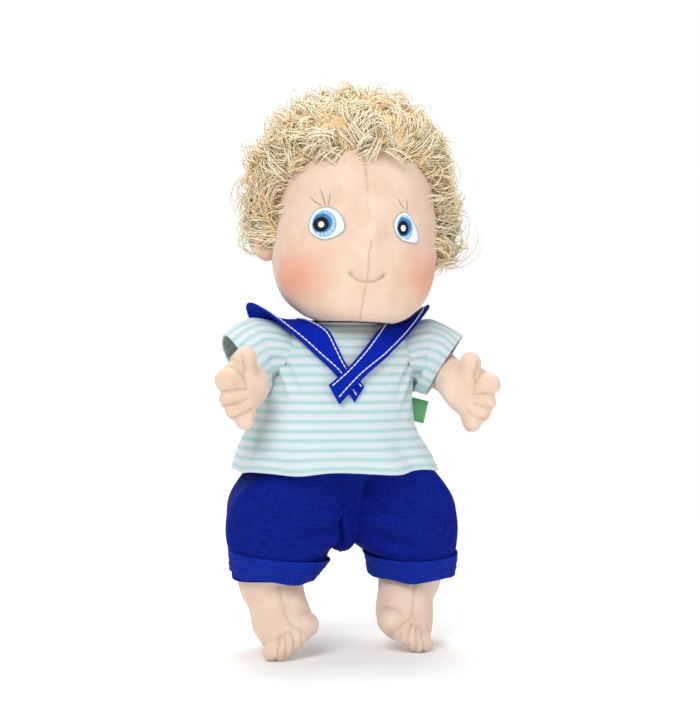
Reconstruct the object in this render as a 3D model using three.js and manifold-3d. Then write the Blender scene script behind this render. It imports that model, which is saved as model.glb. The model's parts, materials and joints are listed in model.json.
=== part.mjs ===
// A dressed cloth doll: stuffed head, neck, body, arms and legs, a curly wig, a striped shirt
// with a sailor collar, and short trousers with turned-up cuffs.
// Millimetres, +Z up. The doll faces -Y and its left side is +X.
// The origin is on the body's axis at the waist, where a hand, a band or a stand's clip holds it.

import * as THREE from 'three';
import { mergeVertices } from 'three/addons/utils/BufferGeometryUtils.js';
import Module from 'manifold-3d';

const wasm = await Module();
wasm.setup();

// Facets round and along the stuffed forms
const bodyRound = 24;
const bodyLevels = 10;
const headRound = 26;
const headLevels = 15;
const shirtRound = 40;
const shirtLevels = 10;
const legRound = 18;
const limbRound = 12;
const sleeveRound = 28;

// Clearance and cloth
const gap = 0.3; // between pieces that touch
const swing = 0.6; // between pieces that turn past each other
const cloth = 1.1; // a garment's thickness
const felt = 1.4; // the collar's thickness

// Body, as heights above the soles' level
const hipHeight = 76; // the hip joints
const trunk = 108; // from the hip joints to the top of the body
const crotchDrop = 19; // the seat below the hip joints
const waistHeight = 108; // where the doll is held
const shoulderDrop = 12; // the shoulder joints below the top of the body
const hipSpread = 40; // the hip joints' distance from the middle
const shoulderHalf = 38.5; // the body's half width at the shoulder seams, where it is flat
const chestDeep = 27;
const bellyHalf = 42;
const bellyDeep = 33;

// Head and neck, as heights above the neck joint
const headHeight = 116;
const headHalf = 46.5;
const headDeep = 43.5;
const chinDrop = 6.5; // the chin below the neck joint
const headForward = -3; // the head's middle ahead of the neck
const headTilt = THREE.MathUtils.degToRad(2); // towards the doll's left shoulder
const headTurn = THREE.MathUtils.degToRad(-5); // towards the doll's right
const headShift = 5.7; // the head's middle to the left of the neck
const headHollow = 31; // the hollow under the head, over the shoulders: its reach to the front
const headHollowAside = 48; // its reach to the sides
const headHollowUp = 9; // how far the hollow's rim rises above the neck joint
const neckBall = 13;
const neckStub = 9.5;
const neckRise = 9; // the neck joint above the top of the body
const neckSunk = 8; // the neck's stub in the body

// Face and wig
const noseUp = 46;
const noseRadius = 5.2;
const eyeUp = 51;
const eyeAside = 22.5;
const eyeHalf = 9.5;
const eyeTall = 8;
const thread = 0.7; // the embroidery's thickness
const earUp = 42;
const earOut = 9;
const earHalf = 0.75 * earOut; // part of it lies in the head
const earTall = 9;
const earThick = 4.5;
const wigHalf = 67;
const wigTall = 63; // from the wig's widest level to its top
const wigUp = 70; // the wig's widest level above the chin
const wigBack = 57;
const wigFront = 54;
const curlDeep = 3.2;
const hairline = 91; // the hair's front edge above the chin
const faceHalf = 45; // the hair's opening round the face
const faceMiddle = 44; // the opening's middle above the chin
const hairEnds = 37; // the lowest curls beside the face, above the chin
const napeEnds = 24; // the lowest curls behind, above the chin

// Arms, as radii and as a path from the shoulder joint of the doll's left arm
const armRadius = 12;
const wristRadius = 10;
const palmHalf = 16.5;
const palmThick = 9;
const sleeveRoot = 18.6;
const sleeveMouth = 19;
const sleeveLength = 19;
const armholeHalf = 43; // the shirt's half width at the armholes

// Legs and feet
const thighRadius = 24;
const kneeRadius = 18.5;
const ankleRadius = 14.5;
const ankleHeight = 33;
const footLong = 25;
const bigToe = 7.4;
const smallToe = 4.9;

// Shirt
const hemClear = 1.5; // the shirt's hem above the cuffs when the doll sits
const ease = 0.6; // the shirt's looseness over the body, where it is closest
const hemHalf = 58;
const hemDeep = 43;
const neckHalf = 27;
const neckDeep = 20;
const bindTall = 2.6;
const placketHalf = 6;
const placketDrop = 36; // the placket's upper end below the top of the body
const hemFolds = 7; // the hanging folds round the shirt's hem
const hemFoldDeep = 1.6;
const foldTop = 40; // the folds die out this far above the hem
const sleeveFolds = 5;
const sleeveFoldDeep = 0.9;
const labelOut = 10;
const labelTall = 13;
const labelThick = 0.8;
const labelSewn = 8; // the tape's depth in the seam, before the shirt cuts it
const labelDrop = 46; // the label's middle below the top of the body

// Collar: edge points of the doll's left half, as across, back and height over the top of the body
const collarInner = [
  [14, -25.3, -2.2],
  [21, -14, 2.8],
  [23.5, 2, 4.2],
  [15, 17, 3.8],
  [0, 25.5, 2.4],
  [0, 32, -13],
  [0, 37, -34],
];
const collarOuter = [
  [33, -22, -4],
  [48, -10, 10],
  [53, 3, 13],
  [51, 13, 8],
  [45, 21, -3],
  [40, 27, -19],
  [38, 28, -34],
];
const collarSag = 3.5; // over the shoulders
// The bands' lower points, from the tail's end up, the left one on top of the right one
const leftInner = [
  [-16.9, -36.7, -31.8],
  [-5.6, -35.8, -22.1],
  [5, -32, -11.5],
];
const leftOuter = [
  [-11.4, -38.6, -42],
  [3.2, -36.2, -27.5],
  [16.5, -31.4, -17.5],
];
const rightInner = [
  [-3.3, -35.4, -32.8],
  [5.8, -33.9, -21.5],
  [10.5, -31.2, -11],
];
const rightOuter = [
  [2.5, -37, -41],
  [11.5, -33.9, -27],
  [22, -30.2, -16],
];

// Trousers
const seatFlat = 0.5; // the depth of the flat that the doll sits on
const hemHeight = 42;
const cuffTall = 13.5;
const cuffThick = 1.5;
const waistband = 7;
const waistTop = 114;

const topHeight = hipHeight + trunk;
const far = 4 * headHalf; // beyond the doll, for the boxes that cut
const shoulderHeight = topHeight - shoulderDrop;
const neckHeight = topHeight + neckRise;
const seatHeight = hipHeight - crotchDrop;
const legHalf = thighRadius + gap + cloth; // a trouser leg's half width and half depth, outside
const cuffHalf = legHalf + gap + cuffThick;

const skin = { color: 0xecc9b4, roughness: 0.95, metalness: 0 };
const blondCurls = { color: 0xf0dc9c, roughness: 0.8, metalness: 0 };
const blueFelt = { color: 0x0a2fd0, roughness: 0.9, metalness: 0 };
const blueCotton = { color: 0x12229c, roughness: 0.9, metalness: 0 };
const stripedKnit = { color: 0xcfe5e4, roughness: 0.9, metalness: 0 };
const blueThread = { color: 0x4f88d8, roughness: 0.6, metalness: 0 };
const greenTape = { color: 0x4fae6a, roughness: 0.7, metalness: 0 };

const doll = new THREE.Group();
doll.position.z = -waistHeight;

// Adds one named piece to a group
function addPiece(parent, name, geometry, finish) {
  const mesh = new THREE.Mesh(geometry, new THREE.MeshStandardMaterial(finish));
  mesh.name = name;
  parent.add(mesh);
  return mesh;
}

// A closed mesh as a solid that can be joined and cut
function toSolid(geometry) {
  const plain = geometry.clone();
  plain.deleteAttribute('normal');
  plain.deleteAttribute('uv');
  const merged = mergeVertices(plain, 1e-4);
  const triVerts = new Uint32Array(merged.index.array);
  const vertProperties = new Float32Array(merged.attributes.position.array);
  return new wasm.Manifold(new wasm.Mesh({ numProp: 3, vertProperties, triVerts }));
}

// A solid back as a three.js geometry
function toGeometry(solid) {
  const mesh = solid.getMesh();
  const geometry = new THREE.BufferGeometry();
  geometry.setAttribute('position', new THREE.BufferAttribute(mesh.vertProperties, 3));
  geometry.setIndex(new THREE.BufferAttribute(mesh.triVerts, 1));
  geometry.computeVertexNormals();
  return geometry;
}

// The biggest of the bodies that a cut leaves
function biggest(solid) {
  const bodies = solid.decompose();
  bodies.sort((a, b) => b.volume() - a.volume());
  return bodies[0];
}

// A closed skin over rings of points, with a fan over each end, facing out
function loft(rings) {
  const count = rings[0].length;
  const positions = [];
  const triangles = [];
  for (const ring of rings) {
    for (const point of ring) positions.push(point.x, point.y, point.z);
  }
  for (let i = 0; i < rings.length - 1; i += 1) {
    for (let j = 0; j < count; j += 1) {
      const a = i * count + j;
      const b = i * count + (j + 1) % count;
      triangles.push(a, b, b + count, a, b + count, a + count);
    }
  }
  for (const [end, flip] of [[0, true], [rings.length - 1, false]]) {
    const middle = new THREE.Vector3();
    for (const point of rings[end]) middle.addScaledVector(point, 1 / count);
    const hub = positions.length / 3;
    positions.push(middle.x, middle.y, middle.z);
    for (let j = 0; j < count; j += 1) {
      const a = end * count + j;
      const b = end * count + (j + 1) % count;
      triangles.push(...(flip ? [hub, b, a] : [hub, a, b]));
    }
  }
  const geometry = new THREE.BufferGeometry();
  geometry.setAttribute('position', new THREE.Float32BufferAttribute(positions, 3));
  geometry.setIndex(triangles);
  return faceOut(geometry);
}

// Turns a closed mesh the right way round where its volume comes out negative
function faceOut(geometry) {
  const at = geometry.attributes.position;
  const index = geometry.index.array;
  const [a, b, c] = [new THREE.Vector3(), new THREE.Vector3(), new THREE.Vector3()];
  let volume = 0;
  for (let i = 0; i < index.length; i += 3) {
    a.fromBufferAttribute(at, index[i]);
    b.fromBufferAttribute(at, index[i + 1]);
    c.fromBufferAttribute(at, index[i + 2]);
    volume += a.dot(b.cross(c)) / 6;
  }
  if (volume < 0) {
    for (let i = 0; i < index.length; i += 3) [index[i], index[i + 1]] = [index[i + 1], index[i]];
  }
  geometry.computeVertexNormals();
  return geometry;
}

// A ring of points round a centre, an oval that fullness above 2 makes squarer. Folds wave it in
// and out so many times round, by a depth
function oval(centre, u, halfU, v, halfV, count, fullness = 2, folds = 0, foldDeep = 0) {
  const points = [];
  for (let i = 0; i < count; i += 1) {
    const turn = (2 * Math.PI * i) / count;
    const c = Math.sign(Math.cos(turn)) * Math.abs(Math.cos(turn)) ** (2 / fullness);
    const s = Math.sign(Math.sin(turn)) * Math.abs(Math.sin(turn)) ** (2 / fullness);
    const wave = foldDeep * Math.sin(folds * turn + 0.6);
    points.push(centre.clone().addScaledVector(u, (halfU + wave) * c).addScaledVector(v, (halfV + wave) * s));
  }
  return points;
}

const X = new THREE.Vector3(1, 0, 0);
const Y = new THREE.Vector3(0, 1, 0);
const Z = new THREE.Vector3(0, 0, 1);

// A smooth value between stations: a cubic whose slopes come from the stations beside it
function along(stations, key, z) {
  const last = stations.length - 1;
  let i = 0;
  while (i < last - 1 && z > stations[i + 1].z) i += 1;
  const [low, high] = [stations[i], stations[i + 1]];
  const span = high.z - low.z;
  const t = THREE.MathUtils.clamp((z - low.z) / span, 0, 1);
  const slope = (j) => {
    const before = stations[Math.max(j - 1, 0)];
    const after = stations[Math.min(j + 1, last)];
    return ((after[key] - before[key]) / (after.z - before.z)) * span;
  };
  const rise = high[key] - low[key];
  const curve = slope(i) * t * (1 - t) ** 2 - slope(i + 1) * t * t * (1 - t);
  return low[key] + rise * t * t * (3 - 2 * t) + curve;
}

// A stuffed form that stands on Z, from stations of half width, half depth and shift to the back,
// grown by a distance on every side
function upright(stations, levels, count, grow = 0, fullness = 2.3) {
  const low = stations[0].z;
  const high = stations[stations.length - 1].z;
  const rings = [];
  for (let i = 0; i <= levels; i += 1) {
    const share = 0.5 - 0.5 * Math.cos((Math.PI * i) / levels);
    const z = THREE.MathUtils.lerp(low, high, share);
    const centre = new THREE.Vector3(0, along(stations, 'back', z), z + grow * (2 * share - 1));
    const wide = along(stations, 'wide', z) + grow;
    const deep = along(stations, 'deep', z) + grow;
    rings.push(oval(centre, X, wide, Y, deep, count, fullness));
  }
  return loft(rings);
}

// A stuffed form along a curve, from stations of place along it, half width and half thickness;
// flat is the direction of its thickness
function limb(curve, stations, steps, count, flat) {
  const rings = [];
  for (let i = 0; i <= steps; i += 1) {
    const share = 0.5 - 0.5 * Math.cos((Math.PI * i) / steps);
    const centre = curve.getPoint(share);
    const ahead = curve.getTangent(share);
    const across = new THREE.Vector3().crossVectors(ahead, flat).normalize();
    const thick = new THREE.Vector3().crossVectors(across, ahead).normalize();
    const half = along(stations, 'wide', share);
    rings.push(oval(centre, across, half, thick, along(stations, 'deep', share), count));
  }
  return loft(rings);
}

// An egg-shaped lump between two points, used for fingers, toes, nose and ears
function lump(from, to, radius, flatten = 1, count = 10) {
  const geometry = new THREE.CapsuleGeometry(radius, from.distanceTo(to), 3, count, 1);
  geometry.scale(1, 1, flatten);
  const turn = new THREE.Quaternion().setFromUnitVectors(Y, to.clone().sub(from).normalize());
  geometry.applyQuaternion(turn);
  geometry.translate((from.x + to.x) / 2, (from.y + to.y) / 2, (from.z + to.z) / 2);
  return toSolid(geometry);
}

function ball(centre, radiusX, radiusY, radiusZ, segments = 20) {
  const geometry = new THREE.SphereGeometry(1, segments, Math.round(segments / 2));
  geometry.scale(radiusX, radiusY, radiusZ);
  geometry.translate(centre.x, centre.y, centre.z);
  return toSolid(geometry);
}

function box(low, high) {
  const geometry = new THREE.BoxGeometry(high.x - low.x, high.y - low.y, high.z - low.z);
  geometry.translate((low.x + high.x) / 2, (low.y + high.y) / 2, (low.z + high.z) / 2);
  return toSolid(geometry);
}

// An outline in the front view (across, up), carried from one depth to another
function frontPrism(points, from, to) {
  const outline = new THREE.Shape(points.map(([x, z]) => new THREE.Vector2(x, z)));
  const geometry = new THREE.ExtrudeGeometry(outline, { depth: to - from, bevelEnabled: false });
  geometry.rotateX(Math.PI / 2);
  geometry.translate(0, to, 0);
  return toSolid(geometry);
}

// An outline in the side view (back, up), carried from one side to the other
function sidePrism(outline, from, to) {
  const geometry = new THREE.ExtrudeGeometry(outline, {
    depth: to - from,
    bevelEnabled: false,
    curveSegments: 18,
  });
  geometry.rotateX(Math.PI / 2);
  geometry.rotateZ(Math.PI / 2);
  geometry.translate(from, 0, 0);
  return toSolid(geometry);
}

// Every size on the doll's left side, mirrored for its right
function mirrored(solid, side) {
  return side < 0 ? solid.mirror([1, 0, 0]) : solid;
}

const bodyStations = [
  { z: seatHeight, wide: 0.82 * bellyHalf, deep: 0.8 * bellyDeep, back: 1 },
  { z: seatHeight + 14, wide: bellyHalf, deep: bellyDeep, back: 1 },
  { z: waistHeight, wide: bellyHalf - 1, deep: bellyDeep, back: 0 },
  { z: shoulderHeight - 26, wide: shoulderHalf, deep: 0.93 * bellyDeep, back: 0 },
  { z: shoulderHeight, wide: shoulderHalf + 0.6, deep: chestDeep, back: 1 },
  { z: topHeight - 4, wide: 0.86 * shoulderHalf, deep: 0.84 * chestDeep, back: 2 },
  { z: topHeight, wide: 0.56 * shoulderHalf, deep: 0.56 * chestDeep, back: 2 },
];

// The body, grown by a distance
function bodyForm(grow) {
  return toSolid(upright(bodyStations, bodyLevels, bodyRound, grow));
}

// Everything within a half width of the middle, above a height
function between(half, height) {
  return box(new THREE.Vector3(-half, -far, height), new THREE.Vector3(half, far, 3 * topHeight));
}

// The room that a leg and its cuff need to swing: round over the hip, open below and in front
function hipRoom(extra) {
  const reach = cuffHalf + extra;
  const back = THREE.MathUtils.degToRad(16);
  const far = 3 * reach;
  const outline = new THREE.Shape();
  outline.moveTo(-far, -far);
  outline.lineTo(-far, reach);
  outline.lineTo(0, reach);
  outline.absarc(0, 0, reach, Math.PI / 2, -back, true);
  outline.lineTo(reach * Math.cos(back) + far * Math.sin(back), -far);
  outline.closePath();
  const inner = hipSpread - cuffHalf - extra;
  return sidePrism(outline, inner, inner + far).translate([0, 0, hipHeight]);
}

function cutHips(solid, extra) {
  const room = hipRoom(extra);
  return solid.subtract(room).subtract(room.mirror([1, 0, 0]));
}

// The neck's own outline, a stub with a ball on it, grown for the holes that it turns in
function neckLathe(grow) {
  const points = [new THREE.Vector2(0, -neckRise - neckSunk - grow)];
  points.push(new THREE.Vector2(neckStub + grow, -neckRise - neckSunk - grow));
  const radius = neckBall + grow;
  const from = -Math.acos((neckStub + grow) / radius);
  for (let i = 0; i <= 8; i += 1) {
    const turn = THREE.MathUtils.lerp(from, Math.PI / 2, i / 8);
    points.push(new THREE.Vector2(Math.max(radius * Math.cos(turn), 0), radius * Math.sin(turn)));
  }
  const geometry = new THREE.LatheGeometry(points, 20);
  geometry.rotateX(Math.PI / 2);
  return toSolid(geometry);
}

function makeTorso() {
  const socket = neckLathe(gap).translate([0, 0, neckHeight]);
  const lower = box(new THREE.Vector3(-far, -far, 0), new THREE.Vector3(far, far, waistHeight));
  const body = bodyForm(0).intersect(lower.add(between(shoulderHalf, waistHeight)));
  return biggest(cutHips(body, swing + cloth + gap).subtract(socket));
}

const chin = -chinDrop;
const headStations = [
  { z: chin, wide: 0.4 * headHalf, deep: 0.44 * headDeep, back: headForward - 14 },
  { z: chin + 0.04 * headHeight, wide: 0.64 * headHalf, deep: 0.66 * headDeep, back: headForward - 9 },
  { z: chin + 0.11 * headHeight, wide: 0.83 * headHalf, deep: 0.85 * headDeep, back: headForward - 3 },
  { z: chin + 0.22 * headHeight, wide: 0.95 * headHalf, deep: 0.94 * headDeep, back: headForward },
  { z: chin + 0.37 * headHeight, wide: headHalf, deep: 0.99 * headDeep, back: headForward + 1 },
  { z: chin + 0.55 * headHeight, wide: 0.99 * headHalf, deep: headDeep, back: headForward + 3 },
  { z: chin + 0.72 * headHeight, wide: 0.9 * headHalf, deep: 0.95 * headDeep, back: headForward + 4 },
  { z: chin + 0.86 * headHeight, wide: 0.7 * headHalf, deep: 0.75 * headDeep, back: headForward + 5 },
  { z: chin + 0.96 * headHeight, wide: 0.38 * headHalf, deep: 0.42 * headDeep, back: headForward + 6 },
  { z: chin + headHeight, wide: 0.06 * headHalf, deep: 0.06 * headDeep, back: headForward + 6 },
];

function headForm(grow) {
  return toSolid(upright(headStations, headLevels, headRound, grow, 2.15));
}

// The front surface of the head at a height above the neck joint, on its middle line
function faceAt(z) {
  return along(headStations, 'back', z) - along(headStations, 'deep', z);
}

// The hollow under the head: a ball socket for the neck, and a wide cone over the shoulders
function headSocket() {
  const points = [
    new THREE.Vector2(0, -2 * neckBall),
    new THREE.Vector2(headHollow, -2 * neckBall),
    new THREE.Vector2(headHollow, headHollowUp),
    new THREE.Vector2(0.7 * neckBall, -1),
    new THREE.Vector2(0, -1),
  ];
  const cone = new THREE.LatheGeometry(points, 20);
  cone.rotateX(Math.PI / 2);
  cone.scale(headHollowAside / headHollow, 1, 1);
  const radius = neckBall + swing;
  return toSolid(cone).add(ball(new THREE.Vector3(), radius, radius, radius, 20));
}

function makeHead() {
  const up = chin + noseUp;
  const nose = ball(new THREE.Vector3(0, faceAt(up) - 0.5, up), noseRadius, 4.6, 0.9 * noseRadius, 14);
  return headForm(0).add(nose).subtract(headSocket().translate([-headShift, 0, 0]));
}

function makeEye(side) {
  const turns = 20;
  const outline = [];
  for (let i = 0; i < turns; i += 1) {
    const turn = (2 * Math.PI * i) / turns;
    outline.push([eyeAside + eyeHalf * Math.cos(turn), chin + eyeUp + eyeTall * Math.sin(turn)]);
  }
  const patch = frontPrism(outline, -2 * headDeep, 0);
  const skinOver = headForm(gap + thread).subtract(headForm(gap));
  return mirrored(biggest(patch.intersect(skinOver)), side);
}

function makeEar(side) {
  const out = headHalf + 0.35 * earOut;
  const centre = new THREE.Vector3(out, headForward + 4, chin + earUp);
  const whole = ball(centre, earHalf, earThick, earTall, 16);
  return mirrored(biggest(whole.subtract(headForm(gap))), side);
}

// The wig's pile, a round cap whose surface swells in and out with its curls
function pileRings() {
  const rings = [];
  const levels = 14;
  const count = 34;
  const lowest = THREE.MathUtils.degToRad(-62);
  for (let i = 0; i <= levels; i += 1) {
    const rise = THREE.MathUtils.lerp(lowest, 0.49 * Math.PI, i / levels);
    const centre = new THREE.Vector3(0, headForward + 4, chin + wigUp + wigTall * Math.sin(rise));
    const ring = [];
    for (let j = 0; j < count; j += 1) {
      const turn = (2 * Math.PI * j) / count;
      const swell = curlDeep * Math.sin(7 * turn + 1.9 * i) * Math.sin(1.05 * i + 0.6);
      const deep = Math.sin(turn) > 0 ? wigBack : wigFront;
      const across = (wigHalf * Math.cos(rise) + swell) * Math.cos(turn);
      const back = (deep * Math.cos(rise) + swell) * Math.sin(turn);
      ring.push(centre.clone().add(new THREE.Vector3(across, back, 0)));
    }
    rings.push(ring);
  }
  return rings;
}

function makeWig() {
  const face = new THREE.CylinderGeometry(1, 1, far, 28);
  face.scale(faceHalf, 1, hairline - faceMiddle);
  face.translate(0, headForward + 6 - far / 2, chin + faceMiddle);
  const below = box(
    new THREE.Vector3(-far, -far, -far),
    new THREE.Vector3(far, headForward + 9, chin + hairEnds),
  );
  const nape = box(new THREE.Vector3(-far, 0, -far), new THREE.Vector3(far, far, chin + napeEnds));
  const cap = toSolid(loft(pileRings()));
  let wig = cap.subtract(headForm(gap)).subtract(toSolid(face)).subtract(below).subtract(nape);
  for (const side of [-1, 1]) {
    const centre = new THREE.Vector3(side * (headHalf + 0.35 * earOut), headForward + 4, chin + earUp);
    wig = wig.subtract(ball(centre, earHalf + 1, earThick + 1, earTall + 1, 16));
  }
  return biggest(wig);
}

// The arm's path from the shoulder joint, for the doll's left arm
const armPath = [
  new THREE.Vector3(shoulderHalf + gap, 0, 0),
  new THREE.Vector3(shoulderHalf + 8, -3, -4.5),
  new THREE.Vector3(shoulderHalf + 15.5, -9, -10.5),
  new THREE.Vector3(shoulderHalf + 20, -19, -16),
  new THREE.Vector3(shoulderHalf + 20, -30, -21),
  new THREE.Vector3(shoulderHalf + 25.5, -36, -24),
  new THREE.Vector3(shoulderHalf + 32, -38, -26),
];
const armStations = [
  { z: 0, wide: armRadius, deep: armRadius },
  { z: 0.36, wide: 0.95 * armRadius, deep: 0.95 * armRadius },
  { z: 0.64, wide: wristRadius, deep: wristRadius },
  { z: 0.78, wide: 0.9 * palmHalf, deep: palmThick },
  { z: 0.92, wide: palmHalf, deep: palmThick },
  { z: 1, wide: 0.8 * palmHalf, deep: 0.55 * palmThick },
];

function makeArm(side) {
  const curve = new THREE.CatmullRomCurve3(armPath);
  const front = new THREE.Vector3(0.25, -1, 0).normalize();
  let arm = toSolid(limb(curve, armStations, 12, limbRound, front));
  const palm = armPath[armPath.length - 2];
  const fingers = [
    { aside: 10, up: 4.4, radius: 7.2, from: 0.2 },
    { aside: 8.6, up: -6.3, radius: 5.8, from: 0.2 },
    { aside: 5.8, up: -13, radius: 5.6, from: 0.3 },
    { aside: 0, up: -19.5, radius: 5.6, from: 0.3 },
    { aside: -1, up: 17, radius: 6.5, from: 0.2 },
  ];
  for (const finger of fingers) {
    const tip = palm.clone().add(new THREE.Vector3(finger.aside, -3, finger.up));
    const root = palm.clone().lerp(tip, finger.from);
    arm = arm.add(lump(root, tip, finger.radius, 1, 9));
  }
  const inside = box(
    new THREE.Vector3(-far, -far, -far),
    new THREE.Vector3(shoulderHalf + gap, far, far),
  );
  return mirrored(biggest(arm.subtract(inside)), side);
}

// A short sleeve, open at the arm's end, gathered at the armhole
function makeSleeve(side) {
  const start = armholeHalf + gap;
  const ahead = new THREE.Vector3(0.78, -0.34, -0.52).normalize();
  const shape = (grow, longer) => {
    const rings = [];
    const steps = 5;
    for (let i = 0; i <= steps; i += 1) {
      const share = i / steps;
      const radius = THREE.MathUtils.lerp(sleeveRoot, sleeveMouth, Math.sin((share * Math.PI) / 2));
      const puff = 1.6 * Math.sin(Math.PI * share);
      const reach = share * (sleeveLength + longer);
      const centre = new THREE.Vector3(start - 1, 0, 0).addScaledVector(ahead, reach);
      const turned = X.clone().lerp(ahead, Math.min(1, 1.6 * share)).normalize();
      const across = new THREE.Vector3().crossVectors(turned, Y).normalize();
      const upward = new THREE.Vector3().crossVectors(turned, across).normalize();
      const half = radius + puff + grow;
      const foldDeep = sleeveFoldDeep * Math.min(1, share) ** 2;
      rings.push(oval(centre, across, half, upward, half, sleeveRound, 2, sleeveFolds, foldDeep));
    }
    return toSolid(loft(rings));
  };
  const inside = box(new THREE.Vector3(-far, -far, -far), new THREE.Vector3(start, far, far));
  const sleeve = shape(0, 0).subtract(shape(-cloth, 4)).subtract(inside);
  return mirrored(biggest(sleeve), side);
}

// The shirt's stations: close to the body at the shoulders, flaring to the hem
const shirtHem = hipHeight + cuffHalf + hemClear;
const loose = gap + cloth + ease;
const shirtStations = [
  { z: shirtHem, wide: hemHalf, deep: hemDeep, back: 0 },
  { z: shirtHem + 16, wide: hemHalf - 5, deep: hemDeep - 2.5, back: 0 },
  { z: shoulderHeight - 32, wide: shoulderHalf + 5.5, deep: bellyDeep + 3.5, back: 0 },
  { z: shoulderHeight - 14, wide: shoulderHalf + 4, deep: 0.93 * bellyDeep + loose, back: 0.5 },
  { z: shoulderHeight, wide: shoulderHalf + 4.5, deep: chestDeep + loose, back: 1 },
  { z: topHeight - 4, wide: 0.86 * shoulderHalf + loose + 2, deep: 0.84 * chestDeep + loose + 1, back: 2 },
  { z: topHeight + loose, wide: 0.56 * shoulderHalf + loose, deep: 0.56 * chestDeep + loose, back: 2 },
];

// A garment's outside over its stations, grown by a distance
function garment(stations, grow) {
  const low = stations[0].z;
  const high = stations[stations.length - 1].z;
  const rings = [];
  for (let i = 0; i <= shirtLevels; i += 1) {
    const share = Math.sin((Math.PI / 2) * (i / shirtLevels));
    const z = THREE.MathUtils.lerp(low, high, share);
    const centre = new THREE.Vector3(0, along(stations, 'back', z), z + grow * share);
    const wide = along(stations, 'wide', z) + grow;
    const deep = along(stations, 'deep', z) + grow;
    const foldDeep = hemFoldDeep * Math.max(0, 1 - (z - low) / foldTop) ** 1.5;
    rings.push(oval(centre, X, wide, Y, deep, shirtRound, 2.3, hemFolds, foldDeep));
  }
  return toSolid(loft(rings));
}

function neckHole(grow) {
  const geometry = new THREE.CylinderGeometry(1, 1, 60, 24);
  geometry.rotateX(Math.PI / 2);
  geometry.scale(neckHalf + grow, neckDeep + grow, 1);
  geometry.translate(0, 2, topHeight);
  return toSolid(geometry);
}

function makeShirtBody() {
  const below = box(new THREE.Vector3(-far, -far, 0), new THREE.Vector3(far, far, shirtHem + 0.01));
  const lower = box(
    new THREE.Vector3(-far, -far, 0),
    new THREE.Vector3(far, far, shoulderHeight - sleeveMouth),
  );
  const round = new THREE.CylinderGeometry(1, 1, 4 * armholeHalf, legRound);
  round.scale(sleeveRoot, 1, sleeveRoot);
  round.rotateZ(Math.PI / 2);
  round.translate(0, 0, shoulderHeight);
  const armholes = toSolid(round).subtract(between(shoulderHalf - 8, 0));
  const shirt = garment(shirtStations, 0).subtract(garment(shirtStations, -cloth)).subtract(below);
  const trimmed = shirt.intersect(between(armholeHalf, 0).add(lower));
  return biggest(trimmed.subtract(neckHole(0)).subtract(armholes));
}

// The binding round the shirt's neck, standing on its edge
function makeNeckBinding() {
  const ring = neckHole(-gap).subtract(neckHole(-gap - cloth));
  const slab = box(
    new THREE.Vector3(-far, -far, topHeight - 9),
    new THREE.Vector3(far, far, topHeight + bindTall),
  );
  return biggest(ring.intersect(slab).intersect(garment(shirtStations, bindTall)).subtract(bodyForm(gap)));
}

// The strip down the back where the shirt opens
function makePlacket() {
  const skinOver = garment(shirtStations, gap + cloth).subtract(garment(shirtStations, gap));
  const strip = box(
    new THREE.Vector3(-placketHalf, 5, shirtHem + 2),
    new THREE.Vector3(placketHalf, far, topHeight - placketDrop),
  );
  return biggest(skinOver.intersect(strip));
}

// A strip of cloth between two edges, each a smooth curve through its points. Half way along it
// its middle sags
function strip(innerPoints, outerPoints, thick, steps, sag) {
  const inner = new THREE.CatmullRomCurve3(innerPoints.map((point) => new THREE.Vector3(...point)));
  const outer = new THREE.CatmullRomCurve3(outerPoints.map((point) => new THREE.Vector3(...point)));
  const rings = [];
  for (let i = 0; i <= steps; i += 1) {
    const share = i / steps;
    const [a, c] = [inner.getPoint(share), outer.getPoint(share)];
    const b = a.clone().lerp(c, 0.5).addScaledVector(Z, -sag * Math.sin(Math.PI * share) ** 3);
    const ahead = inner.getTangent(share).add(outer.getTangent(share));
    const half = ahead.cross(c.clone().sub(a)).setLength(thick / 2);
    const top = [a, b, c].map((point) => point.clone().add(half));
    const under = [c, b, a].map((point) => point.clone().sub(half));
    rings.push([...top, ...under]);
  }
  return toSolid(loft(rings));
}

// The sailor collar: two bands that cross in front, widen over the shoulders and join in a square
// flap behind. The right half is the left one's mirror but for its front band
function makeCollar() {
  const raised = ([x, y, z]) => [x || -gap, y, z + topHeight];
  const halves = [[leftInner, leftOuter], [rightInner, rightOuter]].map(([inner, outer]) => strip(
    [...inner, ...collarInner].map(raised),
    [...outer, ...collarOuter].map(raised),
    felt,
    20,
    collarSag,
  ));
  const collar = halves[0].add(halves[1].mirror([1, 0, 0]));
  return biggest(collar.subtract(garment(shirtStations, gap)));
}

// A folded tape loop in the shirt's left side seam
function makeLabel() {
  const height = topHeight - labelDrop;
  const inner = along(shirtStations, 'wide', height) + gap;
  const tape = box(
    new THREE.Vector3(inner - labelSewn, -labelThick, height - labelTall / 2),
    new THREE.Vector3(inner + labelOut, labelThick, height + labelTall / 2),
  );
  return biggest(tape.subtract(garment(shirtStations, gap)));
}

// The upper end of a leg or trouser leg, round about the hip joint's axis
function hipDrum(half, radius) {
  const points = [];
  const steps = 6;
  for (let i = 0; i <= steps; i += 1) {
    const turn = (Math.PI * i) / steps;
    const out = Math.sin(turn) ** 0.62;
    points.push(new THREE.Vector2(Math.max(radius * out, 0), -half * Math.cos(turn)));
  }
  points[0].x = 0;
  points[steps].x = 0;
  const geometry = new THREE.LatheGeometry(points, legRound);
  geometry.rotateZ(Math.PI / 2);
  return toSolid(geometry);
}

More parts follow.
